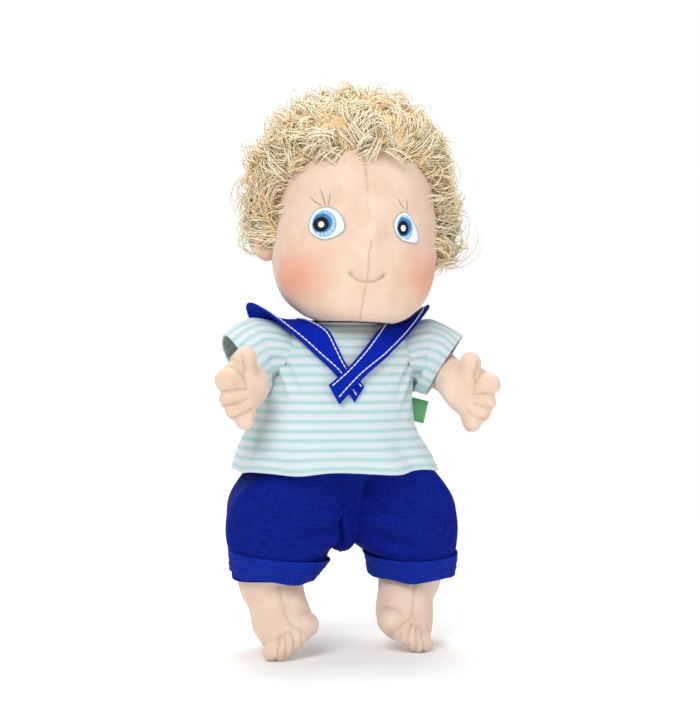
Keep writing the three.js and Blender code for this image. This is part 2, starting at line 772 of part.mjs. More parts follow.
// The leg hangs from the hip joint; every place is measured from that joint
function makeLeg(side, inward) {
  const ankle = ankleHeight - hipHeight;
  const hem = hemHeight - hipHeight;
  const path = new THREE.CatmullRomCurve3([
    new THREE.Vector3(0, 0, 2),
    new THREE.Vector3(0, 0, hem / 2),
    new THREE.Vector3(0, -1, hem),
    new THREE.Vector3(-0.4 * inward, -5, ankle),
    new THREE.Vector3(-0.8 * inward, -13, ankle - 11),
    new THREE.Vector3(-inward, -footLong, ankle - 20),
  ]);
  const stations = [
    { z: 0, wide: 0.96 * thighRadius, deep: 0.96 * thighRadius },
    { z: 0.2, wide: 0.93 * thighRadius, deep: 0.9 * thighRadius },
    { z: 0.45, wide: kneeRadius, deep: kneeRadius },
    { z: 0.62, wide: ankleRadius + 1.5, deep: ankleRadius },
    { z: 0.8, wide: ankleRadius + 2, deep: 0.86 * ankleRadius },
    { z: 1, wide: 0.92 * ankleRadius, deep: 0.5 * ankleRadius },
  ];
  let leg = toSolid(limb(path, stations, 10, 14, Y));
  leg = leg.add(hipDrum(thighRadius, thighRadius));
  const sole = path.getPoint(0.9);
  const toes = [
    { aside: -10.5, up: 4, out: -3, radius: bigToe },
    { aside: -4.5, up: -3.5, out: -6, radius: smallToe },
    { aside: 0.5, up: -7, out: -6.5, radius: smallToe },
    { aside: 5, up: -9.5, out: -6, radius: smallToe },
    { aside: 9.2, up: -9.5, out: -4, radius: smallToe },
  ];
  for (const toe of toes) {
    const tip = sole.clone().add(new THREE.Vector3(toe.aside, toe.out, toe.up));
    leg = leg.add(lump(sole.clone().lerp(tip, 0.35), tip, toe.radius, 1, 9));
  }
  return mirrored(leg, side);
}

// A trouser leg's outside or inside, round over the hip and open at the hem
function trouserForm(grow, lower) {
  const rings = [];
  const steps = 4;
  for (let i = 0; i <= steps; i += 1) {
    const z = THREE.MathUtils.lerp(0, hemHeight - hipHeight - lower, i / steps);
    const flare = 0.6 * Math.sin((Math.PI * i) / steps);
    const half = legHalf + grow - flare;
    rings.push(oval(new THREE.Vector3(0, 0, z), X, half, Y, half, legRound, 2.2));
  }
  const top = hipDrum(legHalf + grow + 0.4, legHalf + grow);
  return toSolid(loft(rings)).add(top);
}

function makeTrouserLeg(side) {
  return mirrored(biggest(trouserForm(0, 0).subtract(trouserForm(-cloth, 4))), side);
}

// The turned-up hem, a band round the trouser leg's lower end
function makeCuff(side) {
  const from = hemHeight - hipHeight;
  const steps = 2;
  const shape = (grow, extra) => {
    const rings = [];
    for (let i = 0; i <= steps; i += 1) {
      const z = THREE.MathUtils.lerp(from - extra, from + cuffTall + extra, i / steps);
      rings.push(oval(new THREE.Vector3(0, 0, z), X, legHalf + grow, Y, legHalf + grow, legRound, 2.2));
    }
    return toSolid(loft(rings));
  };
  return mirrored(shape(gap + cuffThick, 0).subtract(shape(gap, 2)), side);
}

// The upper part of the trousers: the waist, the seat and the cloth between the legs
function makeTrousersTop() {
  const inside = cutHips(bodyForm(gap), swing + cloth);
  const outside = cutHips(bodyForm(gap + cloth), swing);
  const kept = box(
    new THREE.Vector3(-far, -far, seatHeight - gap - cloth + seatFlat),
    new THREE.Vector3(far, far, waistTop - waistband - gap),
  );
  return biggest(outside.subtract(inside).intersect(kept));
}

function makeWaistband() {
  const slab = box(
    new THREE.Vector3(-far, -far, waistTop - waistband),
    new THREE.Vector3(far, far, waistTop),
  );
  return biggest(bodyForm(gap + 1.6 * cloth).subtract(bodyForm(gap)).intersect(slab));
}

function buildRoot() {
  addPiece(doll, 'torso', toGeometry(makeTorso()), skin);
  addPiece(doll, 'shirt_body', toGeometry(makeShirtBody()), stripedKnit);
  addPiece(doll, 'neck_binding', toGeometry(makeNeckBinding()), stripedKnit);
  addPiece(doll, 'back_placket', toGeometry(makePlacket()), stripedKnit);
  addPiece(doll, 'collar', toGeometry(makeCollar()), blueFelt);
  addPiece(doll, 'side_label', toGeometry(makeLabel()), greenTape);
  addPiece(doll, 'trousers_top', toGeometry(makeTrousersTop()), blueCotton);
  addPiece(doll, 'waistband', toGeometry(makeWaistband()), blueCotton);
}

function buildHead() {
  const neck = new THREE.Group();
  neck.position.z = neckHeight;
  doll.add(neck);
  addPiece(neck, 'neck', toGeometry(neckLathe(0)), skin);
  const tilted = new THREE.Group();
  tilted.rotation.set(0, headTilt, headTurn);
  neck.add(tilted);
  const head = new THREE.Group();
  head.position.x = headShift;
  tilted.add(head);
  addPiece(head, 'head', toGeometry(makeHead()), skin);
  addPiece(head, 'wig', toGeometry(makeWig()), blondCurls);
  for (const [name, side] of [['right', -1], ['left', 1]]) {
    addPiece(head, `eye_${name}`, toGeometry(makeEye(side)), blueThread);
    addPiece(head, `ear_${name}`, toGeometry(makeEar(side)), skin);
  }
}

function buildLimbs() {
  const feetIn = { right: 4, left: 8 };
  for (const [name, side] of [['right', -1], ['left', 1]]) {
    const shoulder = new THREE.Group();
    shoulder.position.z = shoulderHeight;
    doll.add(shoulder);
    addPiece(shoulder, `arm_${name}`, toGeometry(makeArm(side)), skin);
    addPiece(shoulder, `sleeve_${name}`, toGeometry(makeSleeve(side)), stripedKnit);
    const hip = new THREE.Group();
    hip.position.set(side * hipSpread, 0, hipHeight);
    doll.add(hip);
    addPiece(hip, `leg_${name}`, toGeometry(makeLeg(side, feetIn[name])), skin);
    addPiece(hip, `trouser_leg_${name}`, toGeometry(makeTrouserLeg(side)), blueCotton);
    addPiece(hip, `cuff_${name}`, toGeometry(makeCuff(side)), blueCotton);
  }
}

buildRoot();
buildHead();
buildLimbs();

export default doll;
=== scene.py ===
# The dressed cloth doll: skin, wig, face, shirt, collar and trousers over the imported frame.
# Settings are in millimetres in the part's frame; meshes are written in metres.
import json
from functools import partial

import bmesh
import bpy
import numpy as np
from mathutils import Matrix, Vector


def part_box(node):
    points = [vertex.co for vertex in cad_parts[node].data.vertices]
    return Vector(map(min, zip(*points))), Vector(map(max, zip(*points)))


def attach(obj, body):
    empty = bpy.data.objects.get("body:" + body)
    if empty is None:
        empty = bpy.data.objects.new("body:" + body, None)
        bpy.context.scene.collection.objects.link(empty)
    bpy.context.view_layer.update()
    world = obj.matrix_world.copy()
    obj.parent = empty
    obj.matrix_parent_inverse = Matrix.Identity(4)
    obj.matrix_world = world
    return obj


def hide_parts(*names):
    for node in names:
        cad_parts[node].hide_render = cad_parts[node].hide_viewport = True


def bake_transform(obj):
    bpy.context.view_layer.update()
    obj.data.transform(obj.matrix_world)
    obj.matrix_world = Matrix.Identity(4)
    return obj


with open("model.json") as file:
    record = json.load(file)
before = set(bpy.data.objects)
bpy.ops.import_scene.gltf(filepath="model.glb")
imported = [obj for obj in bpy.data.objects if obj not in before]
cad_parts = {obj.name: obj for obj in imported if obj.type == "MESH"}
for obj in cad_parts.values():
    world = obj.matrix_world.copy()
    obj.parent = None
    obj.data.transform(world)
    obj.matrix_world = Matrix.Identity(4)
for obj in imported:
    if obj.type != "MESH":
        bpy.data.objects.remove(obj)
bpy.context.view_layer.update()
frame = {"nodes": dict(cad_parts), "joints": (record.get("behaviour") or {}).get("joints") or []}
mm = 0.001
draw = np.random.default_rng(7)
jointAt = {joint["name"]: np.array(joint["pos_m"]) / mm for joint in frame["joints"]}
neckAt = jointAt["neck_turn"]
floorLevel = min(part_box(node)[0].z for node in ("leg_right", "leg_left")) / mm
sideOf = {"right": -1, "left": 1}
# a stitch's radius at five places along it, as shares of its thread's
dash = np.array([0.7, 1, 1, 1, 0.7])
print("frame loaded:", len(frame["nodes"]), "nodes")


def linear(code):
    # sRGB hex to linear light
    share = np.array([int(code[i:i + 2], 16) for i in (0, 2, 4)]) / 255
    light = np.where(share <= 0.04045, share / 12.92, ((share + 0.055) / 1.055) ** 2.4)
    return (*light.tolist(), 1.0)


def addNode(tree, kind, settings=None, links=None):
    # one shader node; stops is a colour ramp's list of (place, hex), and a link comes from a node's
    # first output or from a pair of node and output
    node = tree.nodes.new("ShaderNode" + kind)
    for key, value in (settings or {}).items():
        if key == "stops":
            ramp = node.color_ramp
            while len(ramp.elements) < len(value):
                ramp.elements.new(0.5)
            for element, (place, code) in zip(ramp.elements, value):
                element.position = place
                element.color = linear(code)
        elif isinstance(key, int) or key in node.inputs:
            node.inputs[key].default_value = value
        else:
            setattr(node, key, value)
    for key, source in (links or {}).items():
        giver, output = source if isinstance(source, tuple) else (source, 0)
        tree.links.new(giver.outputs[output], node.inputs[key])
    return node


def addMaterial(name):
    # an empty material, what adds its nodes, and the place on the object that its patterns follow
    material = bpy.data.materials.new(name)
    material.use_nodes = True
    material.node_tree.nodes.clear()
    node = partial(addNode, material.node_tree)
    return material, node, (node("TexCoord"), "Object")


def finish(node, colour, height=None, relief=0.0, strength=0.6, rough=0.9, sheen=0.0, shine=0.5, glow=0.0):
    # the fibres' cover: relief is in millimetres, and glow is the share of light that comes through
    links = {"Base Color": colour}
    if height:
        links["Normal"] = node("Bump", {"Strength": strength, "Distance": relief * mm}, {"Height": height})
    cover = node("BsdfPrincipled",
                    {"Roughness": rough, "Sheen Weight": sheen, "Specular IOR Level": shine}, links)
    if glow:
        through = node("BsdfTranslucent", links={"Color": colour})
        cover = node("MixShader", {0: glow}, {1: cover, 2: through})
    node("OutputMaterial", links={"Surface": cover})


def along(stations, column, at):
    # a smooth curve through stations: cubic pieces whose slopes come from the stations beside them
    table = np.asarray(stations, float)
    xs, ys = table[:, 0], table[:, column]
    slopes = np.gradient(ys, xs)
    i = np.clip(np.searchsorted(xs, at) - 1, 0, len(xs) - 2)
    span = xs[i + 1] - xs[i]
    t = np.clip((at - xs[i]) / span, 0, 1)
    ends = ys[i] * (1 + 2 * t) * (1 - t) ** 2 + ys[i + 1] * t * t * (3 - 2 * t)
    return ends + span * t * (1 - t) * (slopes[i] * (1 - t) - slopes[i + 1] * t)


def sizesAt(stations, at):
    # all the stations' columns at a height or share
    return [along(stations, column, at) for column in range(1, len(stations[0]))]


def curveThrough(points, shares):
    # Catmull-Rom curve: each stretch is a cubic set by the two points at its ends and the two beside them
    p = np.asarray(points, float)
    p = np.vstack([2 * p[0] - p[1], p, 2 * p[-1] - p[-2]])
    t = np.clip(np.asarray(shares, float) * (len(p) - 3), 0, len(p) - 3 - 1e-9)
    i = t.astype(int)
    f = (t - i)[..., None]
    a, b, c, d = p[i], p[i + 1], p[i + 2], p[i + 3]
    return 0.5 * (2 * b + (c - a) * f + (2 * a - 5 * b + 4 * c - d) * f ** 2
                  + (3 * b - a - 3 * c + d) * f ** 3)


def unit(vectors):
    return vectors / np.maximum(np.linalg.norm(vectors, axis=-1, keepdims=True), 1e-9)


def circle(count):
    return np.linspace(0, 2 * np.pi, count, endpoint=False)


def squareness(turn, fullness):
    # the cosine and sine of an oval that fullness above 2 makes squarer
    c, s = np.cos(turn), np.sin(turn)
    return np.sign(c) * np.abs(c) ** (2 / fullness), np.sign(s) * np.abs(s) ** (2 / fullness)


def bell(distance, width):
    return np.exp(-(distance / width) ** 2)


def rise(values, start, span):
    # from 0 at start to 1 a span beyond it; a negative span falls instead
    return np.clip((values - start) / span, 0, 1)


def spread(*parts):
    # one array for each coordinate, brought to one shape and stacked
    return np.stack(np.broadcast_arrays(*parts), -1)


def lengths(points):
    # how far along a line of points each one lies
    return np.concatenate([[0], np.cumsum(np.linalg.norm(np.diff(points, axis=0), axis=-1))])


def nearLine(points, line):
    # distance of each point from a line of closely set points
    return np.sqrt(((points[..., None, :] - line) ** 2).sum(-1)).min(-1)


def mirroredX(points, side):
    return np.asarray(points, float) * np.array([side, 1, 1] if np.shape(points)[-1] == 3 else [side, 1])


def addMarks(mesh, marks):
    # a number or a colour on each point, which a material reads by its name
    for key, values in marks.items():
        single = np.size(values) == len(mesh.vertices)
        kind, field = ("FLOAT", "value") if single else ("FLOAT_COLOR", "color")
        mark = mesh.attributes.new(key, kind, "POINT")
        mark.data.foreach_set(field, np.asarray(values, np.float32).ravel())


def setPoints(mesh, points):
    mesh.vertices.foreach_set("co", (points * mm).astype(np.float32).ravel())


def meshPiece(name, points, faceSets, cloth=None, marks=None, welded=False):
    # faceSets: arrays of quads or triangles; cloth: one UV pair a face corner; marks: values on points
    mesh = bpy.data.meshes.new(name)
    points = np.asarray(points, float).reshape(-1, 3)
    sizes = np.concatenate([np.full(len(faces), faces.shape[1]) for faces in faceSets])
    corners = np.concatenate([faces.ravel() for faces in faceSets]).astype(np.int32)
    mesh.vertices.add(len(points))
    setPoints(mesh, points)
    mesh.loops.add(len(corners))
    mesh.loops.foreach_set("vertex_index", corners)
    mesh.polygons.add(len(sizes))
    mesh.polygons.foreach_set("loop_start", (np.cumsum(sizes) - sizes).astype(np.int32))
    mesh.update(calc_edges=True)
    if cloth is not None:
        layer = mesh.uv_layers.new(name="cloth")
        layer.data.foreach_set("uv", np.asarray(cloth, np.float32).ravel())
    addMarks(mesh, marks or {})
    if welded:
        form = bmesh.new()
        form.from_mesh(mesh)
        bmesh.ops.remove_doubles(form, verts=form.verts, dist=1e-6)
        bmesh.ops.recalc_face_normals(form, faces=form.faces)
        form.to_mesh(mesh)
        form.free()
    mesh.shade_smooth()
    piece = bpy.data.objects.new(name, mesh)
    bpy.context.scene.collection.objects.link(piece)
    return piece


def gridFaces(rows, columns, wrap):
    # the quads of a grid of points, and each corner's row and column with the wrap unrolled
    r, c = np.meshgrid(np.arange(rows - 1), np.arange(columns if wrap else columns - 1), indexing="ij")
    rowOf = np.stack([r, r, r + 1, r + 1], -1).reshape(-1, 4)
    columnOf = np.stack([c, c + 1, c + 1, c], -1).reshape(-1, 4)
    return rowOf * columns + columnOf % columns, rowOf, columnOf


def sheetPiece(name, points, wrap=False, cloth=None, marks=None, welded=False, keep=None):
    # a surface over a grid of points; keep says which points' faces stay
    faces, rowOf, columnOf = gridFaces(*points.shape[:2], wrap)
    if keep is not None:
        kept = keep.ravel()[faces].all(1)
        faces, rowOf, columnOf = faces[kept], rowOf[kept], columnOf[kept]
    corners = None if cloth is None else cloth[rowOf, columnOf]
    return meshPiece(name, points, [faces], corners, marks, welded)


def strandPiece(name, paths, radii, aside, sides=4, marks=None, flat=1.0):
    # closed round strands: rings round each path's points, drawn together to a point at both ends
    count, steps = paths.shape[:2]
    ahead = unit(np.gradient(paths, axis=1))
    aside = np.broadcast_to(np.asarray(aside, float).reshape(-1, 1, 3), paths.shape)
    across = unit(aside - (aside * ahead).sum(-1, keepdims=True) * ahead)
    over = flat * np.cross(ahead, across)
    turn = np.arange(sides) * 2 * np.pi / sides
    ring = across[:, :, None] * np.cos(turn)[:, None] + over[:, :, None] * np.sin(turn)[:, None]
    skin = paths[:, :, None] + ring * np.broadcast_to(radii, paths.shape[:2])[:, :, None, None]
    ringed = np.arange(count * steps * sides).reshape(count, steps, sides)
    nextSide = np.roll(ringed, -1, axis=2)
    quads = np.stack([ringed[:, :-1], nextSide[:, :-1], nextSide[:, 1:], ringed[:, 1:]], -1)
    tips = count * steps * sides + np.arange(count * 2).reshape(count, 2, 1)
    first = spread(nextSide[:, 0], ringed[:, 0], tips[:, 0])
    last = spread(ringed[:, -1], nextSide[:, -1], tips[:, 1])
    points = np.concatenate([skin.reshape(-1, 3), paths[:, [0, -1]].reshape(-1, 3)])
    onPoints = {}
    for key, values in (marks or {}).items():
        values = np.asarray(values, float)
        values = values.reshape(*values.shape[:2], -1) * np.ones((count, steps, 1))
        body = np.repeat(values[:, :, None], sides, 2).reshape(-1, values.shape[-1])
        onPoints[key] = np.concatenate([body, values[:, [0, -1]].reshape(-1, values.shape[-1])])
    faces = [quads.reshape(-1, 4), first.reshape(-1, 3), last.reshape(-1, 3)]
    return meshPiece(name, points, faces, marks=onPoints)


def dress(piece, material, body, nodes=()):
    piece.data.materials.append(material)
    if body:
        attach(piece, body)
    if nodes:
        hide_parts(*nodes)


def thicken(piece, thick, offset=-1.0):
    # offset -1 keeps the grid as the outer face, 0 as the middle
    solid = piece.modifiers.new("thickness", "SOLIDIFY")
    solid.thickness = thick * mm
    solid.offset = offset
    return piece


# Camera at the photograph's height and angle, as fitted to the doll's own size
view = {"place": (-208.8, -752.6, 59.3), "ahead": (0.2737, 0.9618, 0.0), "lens": 69.7, "film": 36.0}


def setCamera():
    lens = bpy.data.cameras.new("view")
    lens.sensor_fit = "VERTICAL"
    lens.sensor_height = view["film"]
    lens.lens = view["lens"]
    camera = bpy.data.objects.new("view", lens)
    bpy.context.scene.collection.objects.link(camera)
    camera.location = Vector(view["place"]) * mm
    camera.rotation_euler = Vector(view["ahead"]).to_track_quat("-Z", "Y").to_euler()
    bpy.context.scene.camera = camera


setCamera()


# Materials of the head

def velourSkin():
    # cotton velour: matt, with a short nap that catches light at the edges, faintly mottled; the cheeks'
    # blush is their own colour, while the darker mark along the grooves is painted shade
    material, node, place = addMaterial("cottonVelour")
    mottle = node("TexNoise", {"Scale": 1 / (14 * mm), "Detail": 3.0}, {"Vector": place})
    nap = node("TexNoise", {"Scale": 1 / (0.9 * mm), "Detail": 4.0, "Roughness": 0.7}, {"Vector": place})
    tint = node("ValToRGB", {"stops": [(0.3, "e4c5b0"), (0.55, "ead0bb"), (0.75, "eed7c4")]},
                   {"Fac": mottle})
    colour = node("Mix", {"data_type": "RGBA", "blend_type": "MULTIPLY", 0: 0.22}, {6: tint, 7: nap})
    # blush: the cheeks' own pink; the second mark paints shade along the grooves of the smile, the seams, the
    # ears' hollows and the limbs' seams
    for key, code in (("blush", "dd8462"), ("crease", "8d7a66")):
        mark = node("Attribute", {"attribute_name": key})
        colour = node("Mix", {"data_type": "RGBA", 7: linear(code)}, {0: (mark, "Fac"), 6: (colour, 2)})
    finish(node, (colour, 2), nap, relief=0.25, strength=0.3, rough=0.92, sheen=0.25, shine=0.25)
    return material


def sewingThread(name, code, sheen=0.3):
    # mercerised cotton thread: two plies twisted, with a soft shine along them
    material, node, place = addMaterial(name)
    twist = node("TexNoise", {"Scale": 1 / (0.5 * mm), "Detail": 2.0}, {"Vector": place})
    shade = node("Mix", {"data_type": "RGBA", "blend_type": "MULTIPLY", 0: 0.35, 6: linear(code)},
                    {7: twist})
    finish(node, (shade, 2), twist, relief=0.1, strength=0.4, rough=0.6, sheen=sheen)
    return material


def embroideryThread():
    # rayon embroidery thread: smooth and shiny, each stitch with its own dye
    material, node, _ = addMaterial("rayonEmbroideryThread")
    finish(node, node("Attribute", {"attribute_name": "dye"}), rough=0.45, shine=0.25)
    return material


def mohairPile(name, streaks=0.0):
    # mohair yarn: soft shine, honey yellow at the roots and cream at the tips, where a little light
    # comes through; on the cap it is matted, with fine streaks
    material, node, place = addMaterial(name)
    tone = node("Attribute", {"attribute_name": "tone"})
    fine = node("TexNoise", {"Scale": 1 / (1.8 * mm), "Detail": 3.0, "Distortion": 2.4}, {"Vector": place})
    shift = node("MapRange", {"From Min": 0.3, "From Max": 0.7, "To Min": -streaks, "To Max": streaks},
                    {"Value": fine})
    level = node("Math", {"operation": "ADD"}, {0: (tone, "Fac"), 1: shift})
    stops = [(0.0, "f3cd8c"), (0.25, "fbd99a"), (0.5, "ffe2aa"), (0.75, "ffe8b8"), (0.9, "ffeec8"),
             (1.0, "fff4da")]
    tint = node("ValToRGB", {"stops": stops}, {"Fac": level})
    finish(node, tint, fine if streaks else None, relief=1.2, strength=1.0, rough=0.45, shine=0.4,
           glow=0.0 if streaks else 0.15)
    return material


velour = velourSkin()
rayon = embroideryThread()
browThread = sewingThread("browThread", "9c8672")
mohair = mohairPile("mohairPile")
mohairBase = mohairPile("mohairBase", 0.3)


# Head: rings on heights above the chin, each an oval a little squarer than an ellipse
head = {
    "half": 46.5, "deep": 43.5, "chin": -6.5, "forward": -3.0, "fullness": 2.15,
    "shift": 5.7, "tilt": 2.0, "turn": -5.0, "rows": 250, "columns": 360, "frontDense": 0.45,
    # height above the chin, share of the half width, share of the half depth, shift to the back
    "profile": [
        (9, 0, 0, -6), (3.5, 0.2, 0.2, -9), (0.3, 0.38, 0.41, -12), (0.9, 0.5, 0.53, -12),
        (4.6, 0.66, 0.68, -9), (12.8, 0.84, 0.86, -3), (25.5, 0.955, 0.945, 0), (43, 1, 0.99, 1),
        (64, 0.99, 1, 3), (83.5, 0.9, 0.95, 4), (100, 0.7, 0.75, 5), (111, 0.39, 0.43, 6), (116, 0, 0, 6),
    ],
}
# Face: places across and above the chin, as the face is seen straight from the front
face = {
    # swells: their middle, how far they stand out and how wide they are
    "swells": [((1.2, 46.0), 4.4, 5.6), ((0, 29), 2.2, 8.5), ((-34, 25), 1.5, 15.0), ((33, 27), 1.5, 15.0)],
    "blush": [(-36, 23), (35, 26)], "blushWide": 14.0, "blushStrong": 0.66,
    "smile": [(-9.3, 24.9), (-7.2, 22.9), (-4, 21.4), (-0.3, 20.8), (3.4, 21.4), (6.6, 22.9), (9.4, 24.8)],
    # the smile: its groove's depth and width, and the strength and width of the painted shade along it
    "smileDeep": 1.2, "smileWide": 1.2, "smileShade": 0.55, "smileShadeWide": 0.5,
    "dimpleDeep": 1.1, "dimpleWide": 2.0,
    "lipSeam": [(0.8, 42.5), (0.1, 34), (-0.2, 21.5)],
    "chinSeam": [(-0.6, 19.8), (-1.4, 14), (-2.2, 6), (-2.4, 1)],
    "browSeam": [(-3.8, 93), (-3, 87), (-2.2, 80), (-1.2, 72), (-0.8, 62), (0.2, 53)],
    # each seam's depth, and how dark the painted shade along it is
    "seams": {"lipSeam": (0.6, 0.42), "chinSeam": (0.5, 0.42), "browSeam": (0.4, 0.22)},
    "seamWide": 0.55, "seamShadeWide": 0.38, "slopeStep": 0.2,
}
ringTable = curveThrough(head["profile"], np.linspace(0, 1, head["rows"]))
chinRow = ringTable[:, 0].argmin()
faceLine = {key: curveThrough(face[key], np.linspace(0, 1, 60)) for key in ("smile", *face["seams"])}


def headOval(up):
    # half width, half depth and shift to the back at a height above the chin
    wide, deep, back = [np.interp(up, ringTable[chinRow:, 0], ringTable[chinRow:, k]) for k in (1, 2, 3)]
    return wide * head["half"], deep * head["deep"], back


def faceDepth(x, up):
    # how far back the head's front lies: an oval's depth at that height and distance aside
    wide, deep, back = headOval(up)
    share = np.abs(x / np.maximum(wide, 1e-6)) ** head["fullness"]
    return head["forward"] + back - deep * np.clip(1 - share, 0, 1) ** (1 / head["fullness"])


def faceRelief(x, up):
    # outward swell: bells for the nose, muzzle and cheeks, less grooves along the smile and seams; also the
    # painted shade along those grooves, and the cheeks' blush
    spot = np.stack([x, up], -1)

    def away(centre):
        return np.linalg.norm(spot - np.array(centre), axis=-1)
    out = sum(stands * bell(away(middle), wide) for middle, stands, wide in face["swells"])
    smileGap = nearLine(spot, faceLine["smile"])
    out = out - face["smileDeep"] * bell(smileGap, face["smileWide"])
    for corner in (face["smile"][0], face["smile"][-1]):
        out = out - face["dimpleDeep"] * bell(away(corner), face["dimpleWide"])
    # painted shade along the smile's groove, and below along the seams'
    crease = face["smileShade"] * bell(smileGap, face["smileShadeWide"])
    for key, (deep, dark) in face["seams"].items():
        gap = nearLine(spot, faceLine[key])
        out = out - deep * bell(gap, face["seamWide"])
        crease = np.maximum(crease, dark * bell(gap, face["seamShadeWide"]))
    blush = sum(bell(away(centre), face["blushWide"]) for centre in face["blush"])
    return out, crease, face["blushStrong"] * np.clip(blush, 0, 1)


def facePoints(x, up, lift=0.0):
    # points on the face, lifted off it along its normal, whose slope comes from near neighbours
    step = face["slopeStep"]
    slopeX = (faceDepth(x + step, up) - faceDepth(x - step, up)) / (2 * step)
    slopeUp = (faceDepth(x, up + step) - faceDepth(x, up - step)) / (2 * step)
    normal = unit(np.stack([slopeX, -np.ones_like(slopeX), slopeUp], -1))
    out = faceRelief(x, up)[0]
    return np.stack([x, faceDepth(x, up), up], -1) + normal * (out + lift)[..., None], normal


def placeHead(points, turnOnly=False):
    # from the head's own place to the part's frame: shifted, turned, tilted and set on the neck joint
    a, b = np.radians(head["turn"]), np.radians(head["tilt"])
    x, y, z = np.moveaxis(points, -1, 0)
    if not turnOnly:
        x, z = x + head["shift"], z + head["chin"]
    x, y = x * np.cos(a) - y * np.sin(a), x * np.sin(a) + y * np.cos(a)
    x, z = x * np.cos(b) + z * np.sin(b), -x * np.sin(b) + z * np.cos(b)
    placed = np.stack([x, y, z], -1)
    return placed if turnOnly else placed + neckAt


def headSkin():
    # rings whose points lie closer together at the front
    share = circle(head["columns"])
    turn = share - head["frontDense"] * np.cos(share)
    c, s = squareness(turn, head["fullness"])
    up, wide, deep, back = ringTable.T[..., None]
    return spread(wide * head["half"] * c, head["forward"] + back + deep * head["deep"] * s, up), turn


def makeHead():
    points, turn = headSkin()
    normal = unit(np.cross(np.roll(points, -1, 1) - np.roll(points, 1, 1), np.gradient(points, axis=0)))
    front = np.clip(-2.5 * np.sin(turn), 0, 1)[None, :] * (np.arange(head["rows"]) >= chinRow)[:, None]
    out, crease, blush = faceRelief(points[..., 0], points[..., 2])
    points = points + normal * (out * front)[..., None]
    # the face's marks: painted shade in its grooves, and the blush of its cheeks
    piece = sheetPiece("head_skin", placeHead(points), wrap=True, welded=True,
                       marks={"crease": crease * front, "blush": blush * front})
    dress(piece, velour, "head", ["head"])


seamStitch = {"from": 0.02, "to": 0.62, "count": 15, "half": 0.9, "slant": 0.25, "lift": 0.1, "radius": 0.17}


def makeSeamStitches():
    # the small hand stitches that draw the forehead's seam together: a ladder across the seam
    shares = np.linspace(seamStitch["from"], seamStitch["to"], seamStitch["count"])
    line = curveThrough(face["browSeam"], shares)
    ends = np.linspace(-seamStitch["half"], seamStitch["half"], 4)
    paths, normal = facePoints(line[:, None, 0] + ends, line[:, None, 1] + seamStitch["slant"] * ends,
                               seamStitch["lift"])
    piece = strandPiece("forehead_stitches", placeHead(paths), seamStitch["radius"],
                        placeHead(normal[:, 0], True), 5)
    dress(piece, sewingThread("skinThread", "dcc0a6"), "head")


ear = {"out": 9.0, "thick": 4.5, "tall": 9.0, "up": 42.0, "back": 4.0, "dish": 2.2, "dishOut": 0.25,
       "dishWide": 0.45, "narrow": 0.12, "blush": 0.25, "rows": 40, "columns": 48}


def makeEar(name):
    # a stuffed ear: an egg shape, dished in front by a bell-shaped hollow
    climb = np.linspace(-np.pi / 2, np.pi / 2, ear["rows"])[:, None]
    turn = circle(ear["columns"])[None, :]
    x, y, z = np.broadcast_arrays(np.cos(climb) * np.cos(turn), np.cos(climb) * np.sin(turn), np.sin(climb))
    hollow = ear["dish"] * bell(np.hypot(x - ear["dishOut"], z), ear["dishWide"]) * (y < 0)
    points = np.stack([
        sideOf[name] * (head["half"] + 0.35 * ear["out"] + 0.75 * ear["out"] * x),
        head["forward"] + ear["back"] + ear["thick"] * y + hollow,
        ear["up"] + ear["tall"] * z * (1 - ear["narrow"] * x),
    ], -1)
    # the dish's hollow is darkened with painted shade; the blush is the ear's own pink
    marks = {"crease": 0.25 * bell(hollow - ear["dish"], 1.0), "blush": ear["blush"] + 0 * x}
    piece = sheetPiece("ear_skin_" + name, placeHead(points), wrap=True, welded=True, marks=marks)
    dress(piece, velour, "head", ["ear_" + name])


# Embroidered eyes, in places across and above the chin; reaches are half widths and half heights
eyes = {
    "right": {
        "pupil": (-25.0, 50.9), "pupilReach": (4.0, 4.15), "iris": (1.6, 0.3), "irisReach": (6.2, 7.3),
        "edge": [(-22, 60.4), (-26.8, 59.2), (-30, 54.9), (-31, 50.1), (-29.6, 45.9), (-24.2, 42.9),
                 (-19, 43.9), (-14, 47.1), (-13, 50.9), (-14.4, 54.9), (-17.2, 58.4)],
    },
    "left": {
        "pupil": (18.7, 50.9), "pupilReach": (3.3, 4.15), "iris": (1.3, 0.3), "irisReach": (5.0, 7.0),
        "edge": [(20.2, 59.8), (16, 57.8), (13.6, 52.9), (14.8, 48.3), (18, 44.7), (23.6, 43.5),
                 (27.8, 43.9), (28.4, 48.1), (27.2, 51.9), (24, 56.9)],
    },
    # zones sewn one over the other: on every so many rays, how far off the face, in which dyes
    "zones": {
        "white": (1, 0.0, ["e6ebf1"]), "light": (2, 0.12, ["86bbe2", "bcdaf0", "a6cdea"]),
        "deep": (2, 0.22, ["2c72b2", "4288c4"]), "black": (2, 0.34, ["030306", "08090e"]),
        "glint": (6, 0.4, ["f6f6f4"]),
    },
    "thread": 0.26, "lift": 0.35, "hump": 0.16, "rays": 192, "stray": 0.25, "shortest": 0.25, "under": 0.6,
    "deepTurn": 50, "deepLeast": 0.6, "deepMore": 1.9, "glintAt": (0.1, -0.1), "glintReach": (1.35, 1.6),
    # the stem-stitched rim: stitches round the eye, overlapping each other, close to the face
    "rim": "a3b0b0", "rimStitches": 56, "rimFrom": -0.25, "rimTo": 1.1, "rimLift": -0.05, "rimHump": 0.14,
}
brows = {
    "right": [[(-30.8, 66.2), (-28.4, 63.3), (-25, 61.4)], [(-26, 70.4), (-24.4, 66), (-23.2, 61.5)],
              [(-20.8, 67.6), (-21.2, 64.6), (-21.6, 61.6)]],
    "left": [[(16, 66.8), (17.8, 63.8), (20, 61.4)], [(21.2, 66.8), (21.4, 63.7), (21.4, 60.8)]],
    "lift": 0.12, "radii": 0.21 * np.array([0.5, 0.9, 1, 1, 1, 0.9, 0.5]),
}


